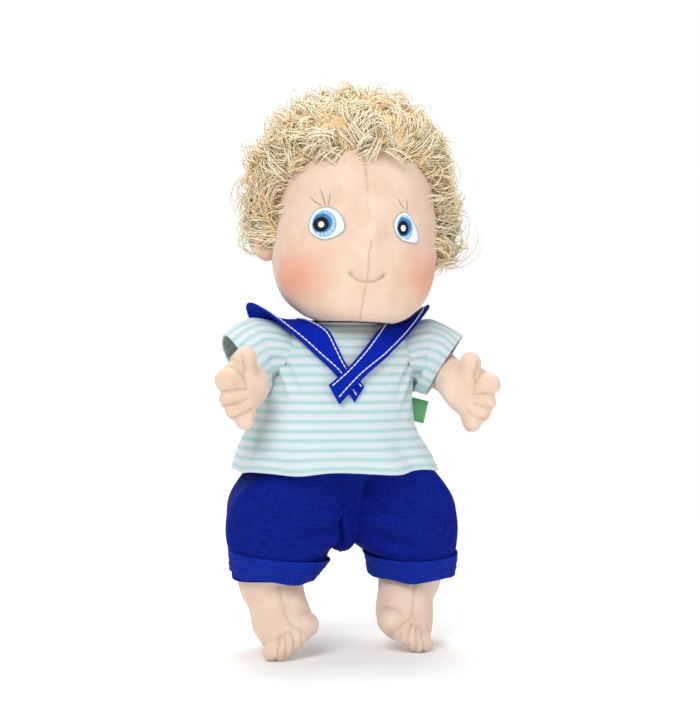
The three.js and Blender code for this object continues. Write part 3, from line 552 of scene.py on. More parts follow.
def edgeReach(eye, turn):
    # distance from the pupil's middle to the eye's edge, read round the edge's points
    edge = curveThrough(eye["edge"] + eye["edge"][:1], np.linspace(0, 1, 200)) - np.array(eye["pupil"])
    angle = np.arctan2(edge[:, 1], edge[:, 0])
    order = np.argsort(angle)
    return np.interp(turn, angle[order], np.hypot(edge[order, 0], edge[order, 1]), period=2 * np.pi)


def ovalReach(turn, centre, reach):
    # distance along a ray from the pupil's middle to an oval: the farther root of a quadratic
    c, s = np.cos(turn), np.sin(turn)
    a = (c / reach[0]) ** 2 + (s / reach[1]) ** 2
    b = -2 * (c * centre[0] / reach[0] ** 2 + s * centre[1] / reach[1] ** 2)
    d = (centre[0] / reach[0]) ** 2 + (centre[1] / reach[1]) ** 2 - 1
    return (-b + np.sqrt(np.maximum(b * b - 4 * a * d, 0))) / (2 * a)


def makeEye(name):
    # satin stitches side by side on rays from the pupil's middle, zone over zone, and a stem-stitched rim
    eye, middle = eyes[name], eyes[name]["pupil"]
    paths, dyes, asides = [], [], []

    def lay(x, up, lift, dye):
        path, normal = facePoints(x, up, lift)
        paths.append(placeHead(path))
        asides.append(placeHead(normal[:, 2], True))
        dyes.append(dye * np.ones((len(x), 5, 1)))

    def sew(zone, start, end):
        every, lift, codes = eyes["zones"][zone]
        share = np.linspace(0, 1, 5)
        at, near, far = [values[::every] for values in (turn, start, end)]
        keep = far - near > eyes["shortest"]
        at, near, far = at[keep, None], near[keep, None], far[keep, None]
        out = near + (far - near) * share
        pick = draw.integers(0, len(codes), len(at))
        lay(middle[0] + out * np.cos(at), middle[1] + out * np.sin(at),
            eyes["lift"] + lift + eyes["hump"] * np.sin(np.pi * share),
            np.array([linear(code) for code in codes])[pick][:, None])

    turn = circle(eyes["rays"])
    turn = turn + draw.uniform(-eyes["stray"], eyes["stray"], len(turn)) * 2 * np.pi / len(turn)
    rim = edgeReach(eye, turn)
    iris = np.minimum(ovalReach(turn, eye["iris"], eye["irisReach"]), rim - 0.5)
    pupil = ovalReach(turn, (0, 0), eye["pupilReach"])
    sew("white", np.minimum(iris, rim - 1) - 0.4, rim - 0.2)
    jitter = draw.uniform(-0.5, 0.1, len(turn))
    sew("light", pupil - eyes["under"], iris + jitter)
    upper = 0.5 + 0.5 * np.cos(turn - np.radians(eyes["deepTurn"]))
    deep = np.minimum(pupil + eyes["deepLeast"] + eyes["deepMore"] * upper ** 1.5, iris - 0.4)
    sew("deep", pupil - eyes["under"], deep + 0.7 * jitter)
    glint = ovalReach(turn, eyes["glintAt"], eyes["glintReach"])
    sew("black", glint, pupil)
    sew("glint", 0 * glint, glint + 0.15)
    edge = curveThrough(eye["edge"] + eye["edge"][:1], np.linspace(0, 1, eyes["rimStitches"] + 1))
    share = np.linspace(eyes["rimFrom"], eyes["rimTo"], 5)
    spot = edge[:-1, None] + np.diff(edge, axis=0)[:, None] * share[:, None]
    lay(spot[..., 0], spot[..., 1], eyes["lift"] + eyes["rimLift"] + eyes["rimHump"] * np.sin(np.pi * share),
        np.array(linear(eyes["rim"])))
    piece = strandPiece("eye_embroidery_" + name, np.concatenate(paths), eyes["thread"] * dash,
                        np.concatenate(asides), 5, {"dye": np.concatenate(dyes)})
    dress(piece, rayon, "head", ["eye_" + name])


def makeBrows(name):
    lines = np.array([curveThrough(line, np.linspace(0, 1, len(brows["radii"]))) for line in brows[name]])
    paths, normal = facePoints(lines[..., 0], lines[..., 1], brows["lift"])
    piece = strandPiece("brow_stitches_" + name, placeHead(paths), brows["radii"],
                        placeHead(normal[:, 3], True), 6)
    dress(piece, browThread, "head")


makeHead()
makeSeamStitches()
for name in sideOf:
    makeEar(name)
    makeEye(name)
    makeBrows(name)
print("head and face made")


# Wig: a knitted cap under curled locks, each a few strands that start upright and hook over at the tip
wig = {
    # the head as the hair sees it: middle, half sizes, and the height of its crown
    "middle": (0, 1, 58), "reach": (46.5, 43.5, 58), "crown": 115.6,
    # the face's opening: half width and height, the height it starts to close at, squareness, and how
    # far back it reaches
    "open": (45.5, 48.0), "openUp": 44.0, "openSquare": 2.8, "openBack": 2,
    # heights the hair starts at: over each ear, at the nape's middle, and how much more at its sides;
    # where the nape's rise starts across and its length, and the same for the change from ear to nape
    "ears": {"right": 51, "left": 36}, "nape": 25, "napeSides": 17, "napeRise": (20, 22), "earEnd": (4, 11),
    # strands may hang this far below the nape's middle, and less far at its right and left sides
    "hangs": 4, "hangSides": (16, 9), "hangRise": (22, 18),
    # the dense base of the pile: its depth, and how it thins at the opening and at the hairline
    "depth": 11.0, "openFade": 0.22, "edgeFade": 14, "edgeLeast": 0.05,
    "steps": 11, "radius": 0.46, "taper": (0.62, 2.2), "flat": 0.6, "parts": 8,
    # how much the strands of a lock differ, and how far they sway
    "differ": {"start": 0.16, "turn": 0.14, "long": 0.15, "lean": 0.12, "root": 0.6, "tone": 0.08},
    "sway": (0.34, 3.4), "tipTone": 0.5,
    # the random flow of the locks: its wavelength over two pi, and the number of waves
    "flowLong": 9.0, "flowWaves": 6,
}
# locks over the head; sides: how much longer they are on the right and on the left
pile = {"roots": 3000, "strands": 7, "spread": 0.66, "power": 1.6, "stray": 0.7, "sunk": 0.85,
        "stands": 11.6, "sides": (5.0, 2.5), "top": 1.5, "uneven": 1.2, "rimWide": 0.16, "rimShort": 0.42,
        "rimLean": 0.2, "start": (0.05, 1.1), "turnIn": (2.2, 4.6), "tone": (0.72, 0.16),
        # the way they hook: out from a height in front, down at the back, with the flow, and at random
        "outFrom": 52, "out": 0.55, "down": (0, 0.075, -0.5), "back": (-5, 30), "flow": 0.75, "random": 0.55,
        # a hooked strand is about twice as long as it stands off the head
        "hook": (5.0, 0.52), "longStray": 0.1}
# the rolled front edge: short hair brushed up and back from the forehead, a few curls over it
rimPile = {"roots": 260, "strands": 11, "spread": 0.36, "power": 1.7, "start": (0.65, 1.15),
           "turnIn": (0.7, 1.9), "long": (12, 18), "tone": (0.7, 0.07), "stray": 0.01, "grow": (1.02, 0.03),
           "widest": 45.6, "flow": 12, "random": 6,
           # brushed aside and back, and up from a height; the share brushed forward, their length and start
           "aside": 22, "back": 9, "up": (0.7, 50), "forward": 0.045, "curl": (5.5, 0.9)}
# the cap's tone and how far the lumps change it: painted shade, darker in their dips
cap = {"off": 1.0, "open": 1.05, "lumps": 0.13, "smallLumps": 0.6, "ripples": 0.05, "tone": (0.4, 0.14),
       "thick": 0.7}


def scalpPlace(directions):
    # where rays from the head's middle leave its form, found by halving
    near, far = np.zeros(len(directions)), np.full(len(directions), 90.0)
    for _ in range(26):
        half = (near + far) / 2
        p = np.array(wig["middle"]) + directions * half[:, None]
        wide, deep, back = headOval(p[:, 2])
        across = np.abs(p[:, 0]) / np.maximum(wide, 0.1)
        deepness = np.abs(p[:, 1] - head["forward"] - back) / np.maximum(deep, 0.1)
        outside = (across ** head["fullness"] + deepness ** head["fullness"] > 1) | (p[:, 2] > wig["crown"])
        near, far = np.where(outside, near, half), np.where(outside, half, far)
    return np.array(wig["middle"]) + directions * near[:, None]


def scalpNormal(points):
    return unit((points - np.array(wig["middle"])) / np.array(wig["reach"]) ** 2)


def openness(points):
    # below 1 inside the face's opening, a squarer oval seen from the front
    x = np.abs(points[..., 0]) / wig["open"][0]
    up = np.clip(points[..., 2] - wig["openUp"], 0, None) / wig["open"][1]
    return (x ** wig["openSquare"] + up ** wig["openSquare"]) ** (1 / wig["openSquare"])


def hairline(points):
    # the height the hair starts at, over the ears and round the nape
    x, y = points[..., 0], points[..., 1]
    front = np.where(x < 0, wig["ears"]["right"], wig["ears"]["left"])
    nape = wig["nape"] + wig["napeSides"] * rise(np.abs(x), *wig["napeRise"])
    return front + (nape - front) * rise(y, *wig["earEnd"])


def pileDepth(points):
    # how far the dense base of the pile stands off the head, thin at the hair's edges
    opening = rise(np.maximum(openness(points), (points[..., 1] > wig["openBack"]) * 1.3), 1, wig["openFade"])
    edge = np.clip((points[..., 2] - hairline(points)) / wig["edgeFade"], wig["edgeLeast"], 1)
    return wig["depth"] * opening * edge


def hairGrows(points, least=1.0):
    behind = points[..., 1] > wig["openBack"]
    return (points[..., 2] > hairline(points)) & ((openness(points) > least) | behind)


def flow(points, seed):
    # a smooth random direction field: sines of the place with a random set of wavelengths
    pick = np.random.default_rng(seed)
    waves = pick.normal(0, 1 / wig["flowLong"], (3, wig["flowWaves"], 3))
    phase = pick.uniform(0, 2 * np.pi, (3, wig["flowWaves"]))
    return np.sin(np.einsum("pk,dwk->pdw", points, waves) + phase).sum(-1) / 2.2


def growLocks(kind, roots, toward, start, turnIn, long, tone):
    # each strand's direction turns from near the scalp's normal towards its own tangent, ever faster
    count, steps, differ = len(roots), wig["steps"], wig["differ"]
    n = scalpNormal(roots)
    t = unit(toward - (toward * n).sum(-1, keepdims=True) * n)
    b = np.cross(n, t)
    place = np.arange(kind["strands"]) - (kind["strands"] - 1) / 2
    each = (count, kind["strands"])
    begin = start[:, None] + draw.normal(0, differ["start"], each)
    total = turnIn[:, None] * (1 + draw.normal(0, differ["turn"], each))
    length = long[:, None] * (1 + draw.normal(0, differ["long"], each))
    s = np.linspace(0, 1, steps)
    lean = begin[..., None] + total[..., None] * s ** kind["power"]
    swing, waves = wig["sway"]
    side = swing * np.sin(waves * s + draw.uniform(0, 6.28, (count, 1, 1))) \
        + draw.normal(0, differ["lean"], each)[..., None]
    ahead = np.cos(lean)[..., None] * n[:, None, None] + np.sin(lean)[..., None] * t[:, None, None] \
        + side[..., None] * b[:, None, None]
    ahead = unit(ahead) * (length / (steps - 1))[..., None, None]
    walk = np.cumsum(ahead, 2) - ahead[:, :, :1]
    root = roots[:, None] + b[:, None] * (kind["spread"] * place)[None, :, None] \
        + draw.normal(0, differ["root"], (*each, 3))
    paths = root[:, :, None] + walk
    shade = tone[:, None, None] + draw.normal(0, differ["tone"], each)[..., None] + wig["tipTone"] * s
    asides = np.broadcast_to(b[:, None], (*each, 3))
    return paths.reshape(-1, steps, 3), asides.reshape(-1, 3), np.clip(shade, 0, 1).reshape(-1, steps)


def pileLocks():
    # roots on a golden-angle spiral; hair stands out and to the sides in front and hangs at the back
    i = np.arange(pile["roots"])
    height = 1 - 2 * (i + 0.5) / len(i)
    turn = np.pi * (3 - np.sqrt(5)) * i
    ring = np.sqrt(1 - height ** 2)
    roots = scalpPlace(np.stack([ring * np.cos(turn), ring * np.sin(turn), height], -1))
    roots = roots[hairGrows(roots)]
    roots = roots + draw.normal(0, pile["stray"], roots.shape)
    n = scalpNormal(roots)
    base = pile["sunk"] * pileDepth(roots)
    outward = unit(spread(roots[:, 0], 0, roots[:, 2] - pile["outFrom"]))
    back = rise(roots[:, 1], *pile["back"])[:, None]
    toward = pile["out"] * outward * (1 - back) + np.array(pile["down"]) * back \
        + pile["flow"] * flow(roots, 3) + draw.normal(0, pile["random"], roots.shape)
    rim = bell(np.clip(openness(roots) - 1, 0, 1) + 0.9 * (roots[:, 1] > 4), pile["rimWide"])
    reach = pile["stands"] + np.where(n[:, 0] < 0, *pile["sides"]) * np.clip(np.abs(n[:, 0]), 0, 1) ** 2 \
        + pile["top"] * np.clip(n[:, 2], 0, 1) ** 2 + pile["uneven"] * flow(roots, 5)[:, 0] - base
    reach = reach * (1 - pile["rimShort"] * rim)
    start = draw.uniform(*pile["start"], len(roots)) + pile["rimLean"] * rim
    more, share = pile["hook"]
    long = (reach + more) / share * (1 + draw.normal(0, pile["longStray"], len(roots)))
    turnIn = draw.uniform(*pile["turnIn"], len(roots))
    tone = pile["tone"][0] + pile["tone"][1] * flow(roots, 9)[:, 1]
    return growLocks(pile, roots + n * (1 + base[:, None]), toward, start, turnIn, long, tone)


def rimLocks():
    turn = np.linspace(0.0, np.pi, rimPile["roots"]) + draw.normal(0, rimPile["stray"], rimPile["roots"])
    c, s = squareness(turn, wig["openSquare"])
    grow = rimPile["grow"][0] + rimPile["grow"][1] * draw.uniform(0, 1, len(c))
    x = np.clip(wig["open"][0] * c * grow, -rimPile["widest"], rimPile["widest"])
    up = wig["openUp"] + wig["open"][1] * s * grow
    roots = np.stack([x, faceDepth(x, up), up], -1)
    share, low = rimPile["up"]
    ahead = spread(x + rimPile["aside"] * np.sign(x), rimPile["back"], share * (up - low)) \
        + rimPile["flow"] * flow(roots, 11) + draw.normal(0, rimPile["random"], roots.shape)
    forward = draw.uniform(0, 1, len(x)) < rimPile["forward"]
    ahead = np.where(forward[:, None], -ahead * np.array([1, 0, 1]), ahead)
    long = np.where(forward, rimPile["curl"][0], draw.uniform(*rimPile["long"], len(x)))
    start = np.where(forward, rimPile["curl"][1], draw.uniform(*rimPile["start"], len(x)))
    turnIn = draw.uniform(*rimPile["turnIn"], len(x))
    tone = rimPile["tone"][0] + draw.normal(0, rimPile["tone"][1], len(x))
    return growLocks(rimPile, roots, ahead, start, turnIn, long, tone)


def makeWig():
    paths, asides, shade = [np.concatenate(both) for both in zip(pileLocks(), rimLocks())]
    # strands that would hang below the nape or the ears are left out
    x = paths[..., 0]
    sides = np.where(x > 0, *wig["hangSides"][::-1]) * rise(np.abs(x), *wig["hangRise"])
    lowest = wig["nape"] - wig["hangs"] + sides
    keep = (paths[..., 2] - lowest).min(1) > 0
    paths, asides, shade = placeHead(paths[keep]), placeHead(asides[keep], True), shade[keep]
    thin, power = wig["taper"]
    radii = wig["radius"] * (1 - thin * np.linspace(0, 1, wig["steps"]) ** power)
    for part in range(wig["parts"]):
        some = slice(part, None, wig["parts"])
        piece = strandPiece("wig_locks_%d" % (part + 1), paths[some], radii, asides[some], 3,
                            {"tone": shade[some]}, wig["flat"])
        dress(piece, mohair, "head")
    print("wig strands:", len(paths))


def makeCap():
    # the cap under the pile, thin at its edge and swelling away from it in lumps and fine ripples; painted
    # shade makes it more golden in the dips between the lumps and paler on them
    points, _ = headSkin()
    grows = hairGrows(points, cap["open"]) & (np.arange(head["rows"]) > chinRow)[:, None]
    flat = points.reshape(-1, 3)
    lumps = (flow(flat, 21)[:, 0] + cap["smallLumps"] * flow(3 * flat, 22)[:, 0]).reshape(points.shape[:2])
    ripples = flow(9 * flat, 23)[:, 1].reshape(lumps.shape)
    swell = cap["off"] + pileDepth(points) * (1 + cap["lumps"] * lumps + cap["ripples"] * ripples)
    points = points + scalpNormal(points) * swell[..., None]
    points[-1] = points[-1].mean(0)
    # painted shade: the tone follows the lumps, darker in the dips
    tone = np.clip(cap["tone"][0] + cap["tone"][1] * lumps, 0, 1)
    piece = sheetPiece("wig_cap", placeHead(points), wrap=True, keep=grows, marks={"tone": tone})
    thicken(piece, cap["thick"])
    dress(piece, mohairBase, "head", ["wig"])


makeWig()
makeCap()


# Stuffed limbs: ovals along a path, closed at both ends, joined with egg-shaped lumps
stuffing = {"rows": 60, "columns": 40, "lump": 24, "voxel": 1.1, "smooth": 6,
            # the seams' groove depth and width, and the strength of the painted shade in them
            "seamDeep": 0.9, "seamWide": 0.9, "seamShade": 0.35}


def tube(path, stations, flat, taper=0.08):
    share = 0.5 - 0.5 * np.cos(np.pi * np.linspace(0, 1, stuffing["rows"]))
    centre = curveThrough(path, share)
    ahead = unit(np.gradient(centre, axis=0))
    across = unit(np.cross(ahead, flat))
    thick = np.cross(across, ahead)
    edge = np.clip(np.minimum(share, 1 - share) / taper, 0, 1)
    close = np.sqrt(edge * (2 - edge))
    wide, deep = [(size * close)[:, None, None] for size in sizesAt(stations, share)]
    turn = circle(stuffing["columns"])[None, :, None]
    return centre[:, None] + wide * np.cos(turn) * across[:, None] + deep * np.sin(turn) * thick[:, None]


def lump(start, end, radius):
    # a capsule whose rings follow a half circle at each end
    start, end = np.array(start, float), np.array(end, float)
    ahead = unit(end - start)
    across = unit(np.cross(ahead, (0.3, 0.2, 1)))
    climb = np.linspace(-np.pi / 2, np.pi / 2, stuffing["lump"])[:, None, None]
    turn = circle(stuffing["lump"])[None, :, None]
    ring = across * np.cos(turn) + np.cross(ahead, across) * np.sin(turn)
    return np.where(climb < 0, start, end) + radius * (np.sin(climb) * ahead + np.cos(climb) * ring)


def stuffed(name, shells):
    # shells joined into one skin by a voxel remesh, then smoothed
    points, faces, count = [], [], 0
    for shell in shells:
        faces.append(gridFaces(*shell.shape[:2], True)[0] + count)
        points.append(shell.reshape(-1, 3))
        count += len(points[-1])
    piece = meshPiece(name, np.concatenate(points), faces, welded=True)
    remesh = piece.modifiers.new("remesh", "REMESH")
    remesh.mode = "VOXEL"
    remesh.voxel_size = stuffing["voxel"] * mm
    piece.modifiers.new("ease", "SMOOTH").iterations = stuffing["smooth"]
    joined = bpy.data.meshes.new_from_object(piece.evaluated_get(bpy.context.evaluated_depsgraph_get()))
    piece.modifiers.clear()
    piece.data = joined
    joined.shade_smooth()
    return piece


def sewLines(piece, lines):
    # grooves along lines, given across and up, in the front faces, darkened with painted shade
    mesh = piece.data
    points, normals = [np.empty(len(mesh.vertices) * 3, np.float32) for _ in range(2)]
    mesh.vertices.foreach_get("co", points)
    mesh.vertex_normals.foreach_get("vector", normals)
    points, normals = points.reshape(-1, 3) / mm, normals.reshape(-1, 3)
    front = np.clip(-2.5 * normals[:, 1] + 0.3, 0, 1)
    fine = [curveThrough(line, np.linspace(0, 1, 40)) for line in lines]
    away = np.min([nearLine(points[:, [0, 2]], line) for line in fine], 0)
    sunk = stuffing["seamDeep"] * bell(away, stuffing["seamWide"])
    setPoints(mesh, points - normals * (sunk * front)[:, None])
    # painted shade along the grooves
    addMarks(mesh, {"crease": stuffing["seamShade"] * bell(away, 0.6 * stuffing["seamWide"]) * front})


arm = {
    "path": [(36, 0.5, 0.5), (46.5, -3, -4.5), (54, -9, -10.5), (58.5, -19, -16), (58.5, -30, -21),
             (64, -36, -24), (71.5, -38.4, -26.5)],
    "stations": [(0, 11.5, 11.5), (0.36, 11.4, 11.4), (0.62, 9.9, 9.9), (0.76, 13, 9), (0.9, 15, 8.6),
                 (1, 13, 6.8)],
    "flat": (0.25, -1, 0),
    # fingers and thumb as start, end and radius
    "lumps": [
        ((65, -38, -23), (73, -41.3, -19.8), 6.7), ((65, -38, -27), (72, -41.2, -29.8), 5.3),
        ((64, -38, -31), (69, -41, -35.8), 5.0), ((62, -38, -33), (63.4, -40.6, -41), 5.2),
        ((62, -36, -16), (63, -39.5, -7.8), 6.0),
    ],
    # seams between the fingers, and the thumb's
    "lines": [
        [(80, -25.6), (72, -25.4), (64, -24.6)], [(79, -34), (71, -32.6), (63.5, -30.2)],
        [(73.5, -41), (66, -38), (60, -34.6)], [(71.5, -12.2), (67.5, -14.6), (64, -19)],
        [(66, -7), (64.5, -14), (64, -19), (63, -25)],
    ],
    # how much higher the hand is held, from the elbow on
    "raise": {"right": 3.0, "left": 0.0}, "elbow": (50, 12),
}


def makeArm(name):
    side, joint = sideOf[name], jointAt["shoulder_" + name] * np.array([0, 1, 1])
    raised = np.array([0, 0, arm["raise"][name]])
    path = mirroredX(arm["path"], side) + rise(np.array(arm["path"])[:, :1], *arm["elbow"]) * raised
    shells = [tube(path, arm["stations"], mirroredX(arm["flat"], side)) + joint]
    joint = joint + raised
    for start, end, radius in arm["lumps"]:
        shells.append(lump(mirroredX(start, side) + joint, mirroredX(end, side) + joint, radius))
    piece = stuffed("arm_skin_" + name, shells)
    sewLines(piece, [mirroredX(line, side) + joint[[0, 2]] for line in arm["lines"]])
    dress(piece, velour, "arm_" + name, ["arm_" + name])


leg = {
    "stations": [(0, 22, 22), (0.2, 21.6, 21), (0.42, 18.4, 18.4), (0.6, 16.2, 14.8), (0.8, 16.8, 12.6),
                 (1, 13.3, 7.6)],
    "ankle": -43, "hem": -34, "long": 25, "turned": {"right": 4, "left": 8}, "sole": 0.9, "instep": 0.62,
    # toes from the sole's point: across (minus inwards), out, up, radius
    "toes": [(-10.5, -3, 4, 7.4), (-4.5, -6, -3.5, 4.8), (0.5, -6.5, -7, 4.8), (5, -6, -9.4, 4.8),
             (9.2, -4, -9.4, 4.8)],
}


def makeLeg(name):
    side, inward, ankle, hem = sideOf[name], leg["turned"][name], leg["ankle"], leg["hem"]
    path = [(0, 0, 4), (0, 0, hem / 2), (0, -1, hem), (-0.4 * inward, -5, ankle),
            (-0.8 * inward, -13, ankle - 11), (-inward, -leg["long"], ankle - 20)]
    path = mirroredX(path, side) + jointAt["hip_" + name]
    sole = curveThrough(path, leg["sole"])
    shells = [tube(path, leg["stations"], (0, 1, 0), taper=0.05)]
    tips = []
    for across, out, up, radius in leg["toes"]:
        tip = sole + np.array([side * across, out, up])
        shells.append(lump(sole + 0.35 * (tip - sole), tip, radius))
        tips.append((tip, radius))
    piece = stuffed("leg_skin_" + name, shells)
    # a seam runs up from between each two toes, and one on from the big toe's over the instep
    instep = curveThrough(path, leg["instep"])[[0, 2]]
    lines = []
    for (tip, radius), (nextTip, nextRadius) in zip(tips, tips[1:]):
        web = ((tip * nextRadius + nextTip * radius) / (radius + nextRadius))[[0, 2]]
        low = web - np.array([0, 5])
        lines.append([low, web + 2.0 * unit(instep - low), low + 0.5 * (instep - low)])
    start = lines[0][-1]
    lines.append([start, 0.5 * (start + instep) + (side * 1.0, 0), instep + (side * 1.5, 10)])
    sewLines(piece, lines)
    dress(piece, velour, "leg_" + name, ["leg_" + name])


# Body and neck, under the clothes: rings of height above the waist, half width, half depth, shift to the back
torso = [
    (-45, 0, 0, 1), (-44.6, 4.5, 6, 1), (-40, 7.5, 13.5, 1), (-20, 9, 20, 1), (-7, 11, 26, 0), (0, 34, 31, 0),
    (10, 39, 31, 0), (38, 36.6, 28.7, 0), (64, 36.2, 25, 1), (72, 31, 20.7, 2), (75.2, 20, 13, 2),
    (75.6, 0, 0, 2),
]
neck = [(-16.4, 0, 0, 0), (-16, 9, 9, 0), (-10, 9.2, 9.2, 0), (-5, 11.8, 11.8, 0), (0, 12.7, 12.7, 0),
        (6.5, 10.9, 10.9, 0), (10.5, 7.2, 7.2, 0), (12.6, 0, 0, 0)]


def ringed(stations, rows, columns, fullness=2.3):
    # a surface of ovals on heights, from stations of height, half width, half depth and shift to the back
    c, s = squareness(circle(columns), fullness)
    up, wide, deep, back = curveThrough(stations, np.linspace(0, 1, rows)).T[..., None]
    return spread(np.maximum(wide, 0) * c, back + np.maximum(deep, 0) * s, up)


def makeBody():
    piece = sheetPiece("torso_skin", ringed(torso, 90, 72), wrap=True, welded=True)
    dress(piece, velour, "torso", ["torso"])
    piece = sheetPiece("neck_skin", ringed(neck, 50, 48, 2.0) + neckAt, wrap=True, welded=True)
    dress(piece, velour, "neck", ["neck"])


makeBody()
for name in sideOf:
    makeArm(name)
    makeLeg(name)
print("body and limbs made")


# Cloth materials

def stripedJersey(name, period=5.2):
    # cotton jersey in two colours of yarn: stripes along the cloth's own length, blurred by its loops
    material, node, place = addMaterial(name)
    cloth = node("SeparateXYZ", links={"Vector": node("UVMap", {"uv_map": "cloth"})})
    loops = node("TexNoise", {"Scale": 1 / (0.7 * mm), "Detail": 3.0}, {"Vector": place})
    waver = node("Math", {"operation": "MULTIPLY_ADD", 1: 0.5, 2: -0.25}, {0: loops})
    down = node("Math", {"operation": "ADD"}, {0: (cloth, "Y"), 1: waver})
    share = node("Math", {"operation": "MULTIPLY", 1: 1 / period}, {0: down})
    part = node("Math", {"operation": "FRACT"}, {0: share})
    stops = [(0.0, "d7dee7"), (0.2, "d0dce2"), (0.36, "aed2d1"), (0.56, "abd0cf"), (0.76, "d0dce2"),
             (1.0, "d7dee7")]
    stripe = node("ValToRGB", {"stops": stops}, {"Fac": part})
    soft = node("Mix", {"data_type": "RGBA", "blend_type": "MULTIPLY", 0: 0.16}, {6: stripe, 7: loops})
    finish(node, (soft, 2), loops, relief=0.3, sheen=0.2, shine=0.2)
    return material


def speckled(name, grain, low, high, **cover):
    # two near shades that change over into each other with the surface's own fine grain
    material, node, place = addMaterial(name)
    fine = node("TexNoise", grain, {"Vector": place})
    tint = node("ValToRGB", {"stops": [(0.3, low), (0.7, high)]}, {"Fac": fine})
    finish(node, tint, fine, **cover)
    return material


def slubCotton(name, low, high):
    # plain-woven cotton with thick and thin yarns, which show as short streaks both ways
    material, node, place = addMaterial(name)
    streaks = []
    for scale in ((1 / 0.8, 1 / 0.8, 1 / 6), (1 / 6, 1 / 6, 1 / 0.8)):
        stretched = node("Mapping", {"Scale": [s / mm for s in scale]}, {"Vector": place})
        streaks.append(node("TexNoise", {"Scale": 1.0, "Detail": 3.0}, {"Vector": stretched}))
    both = node("Math", {"operation": "ADD"}, dict(enumerate(streaks)))
    half = node("Math", {"operation": "MULTIPLY", 1: 0.5}, {0: both})
    tint = node("ValToRGB", {"stops": [(0.32, low), (0.68, high)]}, {"Fac": half})
    finish(node, tint, half, relief=0.4, shine=0.08)
    return material


jersey = stripedJersey("cottonJersey")
# pressed wool felt: no weave, a fine matted surface
felt = speckled("woolFelt", {"Scale": 1 / (1.1 * mm), "Detail": 6.0, "Roughness": 0.7}, "02138c", "0a2cb2",
                relief=0.35, rough=0.95, shine=0.08)
# the trousers and the cuffs are one cotton, in a shaded and a lit copy: the trousers' darker colours are
# painted shade
cotton = slubCotton("slubCotton", "040e66", "0c228c")
cuffCotton = slubCotton("slubCottonCuff", "08197a", "1530a2")
# woven polyester tape: a close, slightly shiny weave
tape = speckled("polyesterTape", {"Scale": 1 / (0.5 * mm), "Detail": 2.0}, "4f9a63", "6fb57e",
                relief=0.1, rough=0.55, shine=0.2)
whiteThread = sewingThread("whiteThread", "f2f0f6")
blueThread = sewingThread("blueThread", "0e1f86", 0.0)


# Shirt: heights above the waist, half width, half depth, shift to the back, of its outer face
shirt = {
    "stations": [(-3.3, 58, 44.6, 0), (6, 54.6, 42.6, 0), (18, 48.6, 38.8, 0), (32, 44.2, 36.6, 0),
                 (50, 42.4, 32.8, 0.5), (64, 43.2, 29.2, 1), (71, 38.6, 26.5, 1.8), (76.6, 27.4, 20.4, 2)],
    "rows": 130, "columns": 300, "fullness": 2.3, "thick": 1.0, "around": 45,
    # the armhole: middle back and up, half depth and half height, and the cloth kept round it
    "hole": (0, 60.2), "holeReach": (20.5, 15.4), "holeFrom": 20, "holeEdge": 0.9,
    # how far the hem hangs to the doll's right, and the height this starts at
    "aside": -5.5, "asideFrom": 66, "folds": 2.2, "foldUp": 46,
    # drag lines by the armpits: where, how wide and tall, and how deep
    "pullAt": (36, 24), "pullUp": 46, "pullWide": 0.33, "pullTall": 15, "pull": 1.3,
}
hemAt, collarAt = shirt["stations"][0][0], shirt["stations"][-1][0]


def shirtWaves(turn, up):
    # soft folds that hang from the armpits and die out above them, and drag lines beside each armpit
    low = np.clip((shirt["foldUp"] - up) / shirt["foldUp"], 0, 1.1) ** 1.5
    wave = np.sin(9 * turn + 0.6) + 0.6 * np.sin(5 * turn + 2.1) + 0.4 * np.sin(14 * turn + up / 9)
    pull, above = 0.0, up - shirt["pullUp"]
    for side in (-1, 1):
        for end in (-1, 1):
            armpit = np.arctan2(end * shirt["pullAt"][1], side * shirt["pullAt"][0])
            gap = np.angle(np.exp(1j * (turn - armpit)))
            close = bell(gap, shirt["pullWide"]) * bell(above, shirt["pullTall"])
            pull = pull + close * shirt["pull"] * np.sin(2.4 * side * end * gap * 9 + above / 2.6)
    return shirt["folds"] * low * wave * 0.6 + pull


def hangAside(up):
    # the shirt hangs a little to one side below the arms, less again at its hem
    return shirt["aside"] * rise(up, shirt["asideFrom"], -45) * (1 - 0.5 * rise(up, 14, -17))


def shirtSurface(turn, up, out=0.0):
    # points of the shirt's outer face at an angle and a height
    wide, deep, back = sizesAt(shirt["stations"], up)
    c, s = squareness(turn, shirt["fullness"])
    swell = shirtWaves(turn, up) + out
    return np.stack([(wide + swell) * c + hangAside(up), back + (deep + swell) * s, up], -1)


def makeShirt():
    share = np.linspace(0, 1, shirt["rows"])
    turn, up = np.meshgrid(circle(shirt["columns"]), hemAt + (collarAt - hemAt) * share ** 0.9)
    points = shirtSurface(turn, up)
    points[..., 2] += 0.8 * np.sin(7 * turn + 1.0) * rise(up, 12, -15)
    reach = np.array(shirt["holeReach"]) - shirt["holeEdge"]
    hole = (np.hypot(*np.moveaxis((points[..., 1:] - shirt["hole"]) / reach, -1, 0)) < 1) \
        & (np.abs(points[..., 0]) > shirt["holeFrom"])
    around = np.linspace(0, 2 * np.pi, shirt["columns"] + 1)
    middleFront = shirt["columns"] * 3 // 4
    cloth = spread(shirt["around"] * around[None, :], lengths(points[:, middleFront])[:, None])
    piece = sheetPiece("shirt_body_cloth", points, wrap=True, cloth=cloth, keep=~hole)
    thicken(piece, shirt["thick"])
    dress(piece, jersey, "torso", ["shirt_body"])
    return piece


sleeve = {
    "root": (42.6, 0, 64), "ahead": (0.78, -0.34, -0.52), "long": 20.5, "rootRadius": 18.6,
    "mouthRadius": 19.6, "puff": 1.8, "rows": 80, "columns": 200, "thick": 0.9, "blend": (43.0, 60.0),
    "join": 0.32, "around": 19.5,
    "faces": {"right": (0.86, -0.1, -0.5), "left": (0.78, -0.34, -0.52)},
}


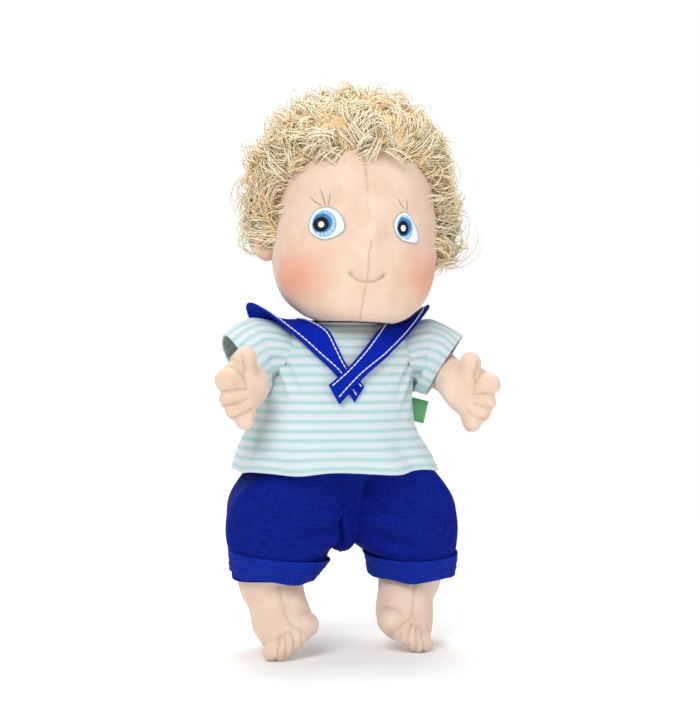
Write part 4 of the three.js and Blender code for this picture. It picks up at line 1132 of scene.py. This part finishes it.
def makeSleeve(name):
    # rings that turn from the armhole's plane to the sleeve's own axis, gathered at the armhole and
    # flared at the mouth
    side = sideOf[name]
    share = np.linspace(0, 1, sleeve["rows"])[:, None]
    turn = np.linspace(0, 2 * np.pi, sleeve["columns"] + 1)[None, :]
    lean = rise(1.5 * share, 0, 1)[..., None]
    axis = unit((1 - lean) * np.array([1, 0, 0]) + lean * unit(np.array(sleeve["faces"][name])))
    across = unit(np.cross(axis, (0, 1, 0)))
    over = np.cross(axis, across)
    radius = sleeve["rootRadius"] + (sleeve["mouthRadius"] - sleeve["rootRadius"]) * share
    low = 0.5 - 0.5 * np.cos(turn)
    gather = (0.5 + 1.3 * low ** 2) * bell(share - 0.2, 0.22) * np.sin(13 * turn + 0.5)
    wave = share ** 2 * (1.3 * np.sin(3 * turn + 1.1) + 0.8 * np.sin(5 * turn + 0.4 + side))
    radius = radius + sleeve["puff"] * np.sin(np.pi * share) + gather + wave
    centre = np.array(sleeve["root"]) + unit(np.array(sleeve["ahead"])) * (share * sleeve["long"])[..., None]
    points = centre + radius[..., None] * (np.cos(turn)[..., None] * across + np.sin(turn)[..., None] * over)
    # at the root the rings turn into the armhole, which lies on the shirt
    y = shirt["hole"][0] - shirt["holeReach"][0] * np.sin(turn)
    z = shirt["hole"][1] + shirt["holeReach"][1] * np.cos(turn)
    wide, deep, back = sizesAt(shirt["stations"], z)
    inside = np.clip(1 - np.abs((y - back) / deep) ** shirt["fullness"], 0, 1) ** (1 / shirt["fullness"])
    armhole = np.stack([wide * inside + side * hangAside(z), y, z], -1)
    joined = rise(share, 0, sleeve["join"])[..., None]
    joined = joined ** 2 * (3 - 2 * joined)
    points = mirroredX(armhole * (1 - joined) + points * joined, side)[:, :-1]
    cloth = spread(share * sleeve["long"], sleeve["around"] * turn)
    if side < 0:
        points, cloth = points[:, ::-1], cloth[:, ::-1]
    piece = thicken(sheetPiece("sleeve_cloth_" + name, points, wrap=True, cloth=cloth), sleeve["thick"])
    dress(piece, jersey, None, ["sleeve_" + name])
    low, high = [(side * x * mm, 0, 0.064) for x in sleeve["blend"]]
    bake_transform(piece)


trims = {
    # the neck's binding, standing on its edge: heights, half sizes, shift to the back
    "bindingUp": (74.6, 78.4), "bindingHalf": (26.3, 19.4), "bindingBack": 2, "bindingThick": 1.0,
    "around": 23,
    # the back opening's strip: half width, heights, and how far it stands off the shirt
    "placketHalf": 6, "placketUp": (-1, 40), "placketOut": 1.1, "placketThick": 0.9,
}


def makeNeckTrims():
    up = np.linspace(*trims["bindingUp"], 8)[:, None]
    wide, deep = trims["bindingHalf"]
    c, s = squareness(circle(120)[None, :], 2.0)
    cloth = spread(trims["around"] * np.linspace(0, 2 * np.pi, 121)[None, :], up)
    points = spread(wide * c, trims["bindingBack"] + deep * s, up)
    binding = thicken(sheetPiece("neck_binding_cloth", points, wrap=True, cloth=cloth), trims["bindingThick"])
    dress(binding, jersey, "torso", ["neck_binding"])
    half = trims["placketHalf"]
    x, up = np.meshgrid(np.linspace(-half, half, 14), np.linspace(*trims["placketUp"], 60))
    c = np.sign(x) * np.abs(x / along(shirt["stations"], 1, up)) ** (shirt["fullness"] / 2)
    points = shirtSurface(np.arccos(c), up, trims["placketOut"])[:, ::-1]
    piece = sheetPiece("back_placket_cloth", points, cloth=points[..., [0, 2]])
    thicken(piece, trims["placketThick"])
    dress(piece, jersey, "torso", ["back_placket"])
    return binding


label = {"corner": (39.9, 0.5, 30.2), "out": 10.5, "tall": 13.0, "tilt": -14, "gap": 0.9, "thick": 0.35,
         "sewnIn": -2.0}


def makeLabel():
    # a tape folded in a loop: out, round the fold and back, tilted as it was sewn
    turn = np.linspace(-np.pi / 2, np.pi / 2, 12)
    flat = [label["sewnIn"], label["out"] / 2]
    out = np.concatenate([flat, label["out"] + label["gap"] * np.cos(turn), flat[::-1]])
    deep = np.concatenate([[-1, -1], np.sin(turn), [1, 1]]) * label["gap"]
    height = np.linspace(-0.5, 0.5, 6)[:, None] * label["tall"]
    a = np.radians(label["tilt"])
    points = spread(out * np.cos(a) - height * np.sin(a), deep, out * np.sin(a) + height * np.cos(a))
    piece = thicken(sheetPiece("side_label_tape", points + np.array(label["corner"])), label["thick"])
    dress(piece, tape, "torso", ["side_label"])


# Collar: edge points of the doll's left half, as across, back and height above the waist
collar = {
    "inner": [(14, -25.3, 73.8), (21, -14, 78.8), (23.5, 2, 80.2), (15, 17, 79.8), (0, 25.5, 78.4),
              (0, 32, 63), (0, 37, 42)],
    "outer": [(33, -22, 72), (48, -10, 86), (53, 3, 89), (51, 13, 84), (45, 21, 73), (40, 27, 57),
              (38, 28, 42)],
    "leftInner": [(-16.9, -36.7, 44.2), (-5.6, -35.8, 53.9), (5, -32, 64.5)],
    "leftOuter": [(-11.4, -38.6, 34), (3.2, -36.2, 48.5), (16.5, -31.4, 58.5)],
    "rightInner": [(-3.3, -35.4, 43.2), (5.8, -33.9, 54.5), (10.5, -31.2, 65)],
    "rightOuter": [(2.5, -37, 35), (11.5, -33.9, 49), (22, -30.2, 60)],
    "sag": 3.5, "thick": 1.2, "rows": 150, "columns": 24, "clear": 1.0,
    # room for the tilted head: how far the left half lies lower beside the neck, and where
    "dip": 4.0, "dipBack": -4, "dipLong": 13, "dipWide": 0.6, "dipAbove": 70,
    # the left half lies over the right in front, up to this share, and behind, from that one
    "over": {"left": 1.6, "right": 0.0}, "frontTo": 0.34, "backFrom": 0.7, "backOver": 0.15,
    "backEdge": -0.6, "backEdgeFrom": 0.72,
    # stitches along the inner and the outer edge, and the share where the inner ones stop
    "sewn": (1.5, 3.0), "stitch": 2.3, "stitchGap": 0.35, "threadRadius": 0.38, "innerTo": 0.62,
}


def offShirt(points, clear):
    # points pushed out of the shirt's outer face, where they lie within it
    wide, deep, back = sizesAt(shirt["stations"], np.clip(points[..., 2], hemAt, collarAt))
    f = shirt["fullness"]
    share = (np.abs(points[..., 0] / wide) ** f + np.abs((points[..., 1] - back) / deep) ** f) ** (1 / f)
    least = 1 + clear / deep
    grow = np.where(points[..., 2] < collarAt + 1, np.maximum(least / np.maximum(share, 0.2), 1), 1)
    middle = np.stack([0 * back, back, points[..., 2]], -1)
    return middle + (points - middle) * np.stack([grow, grow, np.ones_like(grow)], -1)


def collarHalf(half, side):
    # one half's grid of points, from the front end round the neck to the back, and its normals
    share = np.linspace(0, 1, collar["rows"])
    inner, outer = [curveThrough(collar[half + edge] + collar[edge.lower()], share)
                    for edge in ("Inner", "Outer")]
    share = share[:, None]
    across = np.linspace(0, 1, collar["columns"])[None, :]
    points = inner[:, None] * (1 - across[..., None]) + outer[:, None] * across[..., None]
    points[..., 2] -= collar["sag"] * np.sin(np.pi * share) ** 3 * np.sin(np.pi * across)
    backEdge = np.where(share > collar["backEdgeFrom"], collar["backEdge"], -99)
    points[..., 0] = np.maximum(points[..., 0], backEdge)
    beside = bell(points[..., 1] - collar["dipBack"], collar["dipLong"]) \
        * np.clip(1 - across / collar["dipWide"], 0, 1)
    points[..., 2] -= collar["dip"] * (side > 0) * beside * (points[..., 2] > collar["dipAbove"])
    over = collar["over"][half] * rise(share, collar["frontTo"], -0.1)
    behind = collar["backOver"] * (side > 0) * (share > collar["backFrom"])
    points = mirroredX(offShirt(points, collar["clear"] + over + behind), side)
    normal = side * unit(np.cross(np.gradient(points, axis=1), np.gradient(points, axis=0)))
    return points, normal, np.linalg.norm(outer - inner, axis=-1)


def sewEdge(points, normal, wide, edge):
    # stitches along one edge of a collar half: their paths, and the way off the felt at each
    place = np.clip(collar["sewn"][edge] / np.maximum(wide, 8), 0, 0.5)
    column = (place if edge == 0 else 1 - place) * (collar["columns"] - 1)
    lowColumn = np.minimum(column.astype(int), collar["columns"] - 2)
    part = (column - lowColumn)[:, None]
    row = np.arange(collar["rows"])
    line = points[row, lowColumn] * (1 - part) + points[row, lowColumn + 1] * part
    length = lengths(line)
    last = length[-1] if edge == 1 else length[int(collar["innerTo"] * collar["rows"])]
    starts = np.arange(1.5, last - 4, collar["stitch"] + collar["stitchGap"])
    at = starts[:, None] + np.linspace(0, collar["stitch"], 5)
    sewn, up = [np.stack([np.interp(at, length, values[:, k]) for k in range(3)], -1)
                for values in (line, normal[row, lowColumn])]
    hump = collar["thick"] / 2 + 0.15 + 0.25 * np.sin(np.linspace(0, np.pi, 5))
    return sewn + up * hump[None, :, None], up[:, 2]


def makeCollar():
    stitches = []
    for half, side in (("left", 1), ("right", -1)):
        points, normal, wide = collarHalf(half, side)
        grid = points if side > 0 else points[:, ::-1]
        piece = thicken(sheetPiece("collar_felt_" + half, grid[::-1]), collar["thick"], 0.0)
        dress(piece, felt, "torso", ["collar"] if side > 0 else [])
        stitches += [sewEdge(points, normal, wide, edge) for edge in (0, 1)]
    paths, asides = [np.concatenate(parts) for parts in zip(*stitches)]
    piece = strandPiece("collar_stitches", paths, collar["threadRadius"] * dash, asides, 6)
    dress(piece, whiteThread, "torso")


shirtPiece = makeShirt()
bindingPiece = makeNeckTrims()
for name in sideOf:
    makeSleeve(name)
makeLabel()
makeCollar()
print("shirt and collar made")


# Trousers: each leg is a tube from the waist down; at the top the two meet along the middle seam
trousers = {
    # height above the waist, inner edge, outer edge, half depth, shift to the back
    "stations": {
        "right": [(-63, 18.2, 61.9, 23, 0), (-52, 9.0, 62.6, 25.6, 0), (-42, 2.0, 65, 27.4, 0),
                  (-32, 0.8, 65.6, 28.8, 0)],
        "left": [(-63, 18.6, 65.2, 22.4, 0), (-52, 15.6, 66.6, 24, 0), (-42, 5.5, 67.4, 26.4, 0),
                 (-32, 0.8, 66.4, 28.6, 0)],
    },
    "hips": [(-18, 0.4, 62.5, 30.2, 0), (-8, 0.4, 55, 31.8, 0), (3, 0.4, 44.2, 34, 0)],
    "rows": 110, "columns": 150, "thick": 1.1, "blend": (-7.0, -57.0), "drag": 2.0, "soft": 1.8,
    # the waist and the seat between the legs, as rings, and how loose the seat hangs
    "seat": [(-50, 0, 0, 1), (-49.4, 3.4, 7, 1), (-45, 6.4, 14, 1), (-36, 9.8, 19.5, 1.5),
             (-20, 12.2, 24, 1.5), (-9, 15, 30, 0), (-2, 38, 34, 0), (6, 42.6, 34.4, 0)],
    "seatColumns": 120, "gather": 0.012, "slack": 0.07,
    "cuffUp": -63.0, "cuffTall": 11.8, "cuffOut": 1.6, "cuffThick": 1.3, "cuffColumns": 160, "cuffRows": 24,
    "cuffLean": {"right": 0.1, "left": 0.02}, "cuffDip": {"right": 1.0, "left": 3.2},
    # two rows of stitches round the cuff: heights, angle from one to the next, angle along one, radius
    "sewnAt": (3.6, 7.4), "stitchStep": 0.115, "stitch": 0.085, "threadRadius": 0.2,
}


def makeTrousersTop():
    points = ringed(trousers["seat"], trousers["rows"], trousers["seatColumns"])
    turn = circle(trousers["seatColumns"])[None, :]
    points[..., 0] *= 1 + trousers["gather"] * 0.6 * np.sin(9 * turn) * (points[..., 2] > -4)
    fold = rise(points[..., 2], -6, -12) * np.sin(7 * turn + points[..., 2] / 7)
    points[..., :2] *= 1 + trousers["slack"] * fold[..., None]
    piece = thicken(sheetPiece("trousers_top_cloth", points, wrap=True), trousers["thick"])
    dress(piece, cotton, "torso", ["trousers_top", "waistband"])


def makeTrouserLeg(name):
    side, stations = sideOf[name], trousers["stations"][name] + trousers["hips"]
    up = np.linspace(stations[0][0], stations[-1][0], trousers["rows"])[:, None]
    turn = circle(trousers["columns"])[None, :]
    inner, outer, deep, back = sizesAt(stations, up)
    c, s = squareness(turn, 2.2 + 0.9 * rise(up, -45, 45))
    # folds: drag lines that run from the crotch out and down across the front, and soft vertical ones
    x = (inner + outer) / 2 + (outer - inner) / 2 * c
    drag = np.sin((x - 4) * 0.16 + (up + 45) * 0.42 + 0.8 * side) * bell(up + 40, 17) * bell(x - 14, 19)
    soft = 0.5 * np.sin(6 * turn + up / 14 + side) * rise(up, -60, 25) * rise(up, 4, -12)
    swell = trousers["drag"] * drag + trousers["soft"] * soft
    hem = 0.7 * np.sin(3 * turn + side) * rise(up, -58, -8)
    points = mirroredX(spread(x + swell * c * (x > 6), back + (deep + swell) * s, up + hem), side)
    points = points if side > 0 else points[:, ::-1]
    piece = thicken(sheetPiece("trouser_leg_cloth_" + name, points, wrap=True), trousers["thick"])
    dress(piece, cotton, None, ["trouser_leg_" + name])
    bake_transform(piece)


def cuffSurface(name, turn, up, out=0.0):
    # the turned-up band: its lower edge waves a little, and it leans up at the outer side
    side, low, tall = sideOf[name], trousers["cuffUp"], trousers["cuffTall"]
    c, s = squareness(turn, 2.2)
    share = rise(up, low, tall)
    inner, outer, deep, _ = sizesAt(trousers["stations"][name] + trousers["hips"], low + share * tall)
    ripple = 0.5 * np.sin(4 * turn + side) * (1 - share) + 0.35 * np.sin(9 * turn) * (1 - share)
    swell = trousers["cuffOut"] + out + ripple
    half = (outer - inner) / 2 + swell
    lean = trousers["cuffLean"][name] * half * (0.4 + side * c) + trousers["cuffDip"][name] * s
    wave = 0.7 * np.sin(5 * turn + 1.3 * side) * (1 - share)
    return spread(side * (inner + outer) / 2 + half * c, (deep + swell) * s, up + wave + lean)


def makeCuff(name):
    up = trousers["cuffUp"] - 0.3 + np.linspace(0, trousers["cuffTall"], trousers["cuffRows"])[:, None]
    points = cuffSurface(name, circle(trousers["cuffColumns"])[None, :], up)
    piece = thicken(sheetPiece("cuff_cloth_" + name, points, wrap=True), trousers["cuffThick"])
    bevel = piece.modifiers.new("edge", "BEVEL")
    bevel.width = 0.4 * mm
    bevel.limit_method = "ANGLE"
    dress(piece, cuffCotton, "leg_" + name, ["cuff_" + name])
    starts = np.arange(0, 2 * np.pi - 0.05, trousers["stitchStep"])
    at = starts[:, None] + np.linspace(0, trousers["stitch"], 5)
    hump = 0.1 + 0.14 * np.sin(np.linspace(0, np.pi, 5))
    paths = [cuffSurface(name, at, trousers["cuffUp"] + height + 0 * at, hump)
             for height in trousers["sewnAt"]]
    asides = [spread(np.cos(starts), np.sin(starts), 0)] * len(paths)
    piece = strandPiece("cuff_stitches_" + name, np.concatenate(paths), trousers["threadRadius"] * dash,
                        np.concatenate(asides), 5)
    dress(piece, blueThread, "leg_" + name)


makeTrousersTop()
for name in sideOf:
    makeTrouserLeg(name)
    makeCuff(name)
print("trousers made")


# Floor and light; the sweep's bend and lamps in millimetres, its white distances in metres
sweep = {"radius": 500.0, "start": 500.0, "wide": 3000.0, "front": -2500, "top": 3000, "whiteFrom": 0.35,
         "whiteTo": 0.8}


def makeStage():
    # a pale paper sweep: flat under the doll, then a quarter circle up behind it
    material, node, place = addMaterial("matPaper")
    grain = node("TexNoise", {"Scale": 1 / (40 * mm)}, {"Vector": place})
    tint = node("ValToRGB", {"stops": [(0.3, "f6f5f4"), (0.7, "f8f7f6")]}, {"Fac": grain})
    cover = node("BsdfPrincipled", {"Roughness": 0.9}, {"Base Color": tint})
    # away from the doll the paper is plain white to look at
    far = node("VectorMath", {"operation": "LENGTH"}, {0: place})
    away = node("MapRange", {"From Min": sweep["whiteFrom"], "From Max": sweep["whiteTo"]},
                   {"Value": (far, "Value")})
    share = node("Math", {"operation": "MULTIPLY"}, {0: away, 1: (node("LightPath"), "Is Camera Ray")})
    white = node("Emission", {"Color": linear("ffffff"), "Strength": 1.0})
    both = node("MixShader", links={0: share, 1: cover, 2: white})
    node("OutputMaterial", links={"Surface": both})
    bend, radius, start = np.linspace(0, np.pi / 2, 24), sweep["radius"], sweep["start"]
    y = np.concatenate([[sweep["front"]], start + radius * np.sin(bend), [start + radius]])
    z = np.concatenate([[0], radius * (1 - np.cos(bend)), [sweep["top"]]]) + floorLevel
    points = np.stack([spread(side * sweep["wide"], y, z) for side in (-1, 1)], 1)
    piece = sheetPiece("sweep", points)
    piece.data.materials.append(material)


lamps = {
    "key": {"place": (-680, -950, 1000), "size": 900, "power": 14.2},
    "fill": {"place": (900, -900, 300), "size": 900, "power": 3.6},
    "top": {"place": (60, 200, 1100), "size": 700, "power": 9.0},
}


def makeLights():
    for name, lamp in lamps.items():
        light = bpy.data.lights.new(name, "AREA")
        light.shape = "DISK"
        light.size = lamp["size"] * mm
        light.energy = lamp["power"]
        thing = bpy.data.objects.new(name, light)
        thing.visible_camera = False
        bpy.context.scene.collection.objects.link(thing)
        thing.location = Vector(lamp["place"]) * mm
        thing.rotation_euler = (-thing.location).to_track_quat("-Z", "Y").to_euler()
    world = bpy.data.worlds.new("studio")
    bpy.context.scene.world = world
    world.use_nodes = True
    world.node_tree.nodes.clear()
    node = partial(addNode, world.node_tree)
    # white where it is looked at, softer as a light
    seen = node("MapRange", {"To Min": 0.4, "To Max": 1.0},
                   {"Value": (node("LightPath"), "Is Camera Ray")})
    sky = node("Background", {"Color": linear("ffffff")}, {"Strength": seen})
    node("OutputWorld", links={"Surface": sky})


makeStage()
makeLights()
bpy.context.scene.view_settings.view_transform = "Standard"
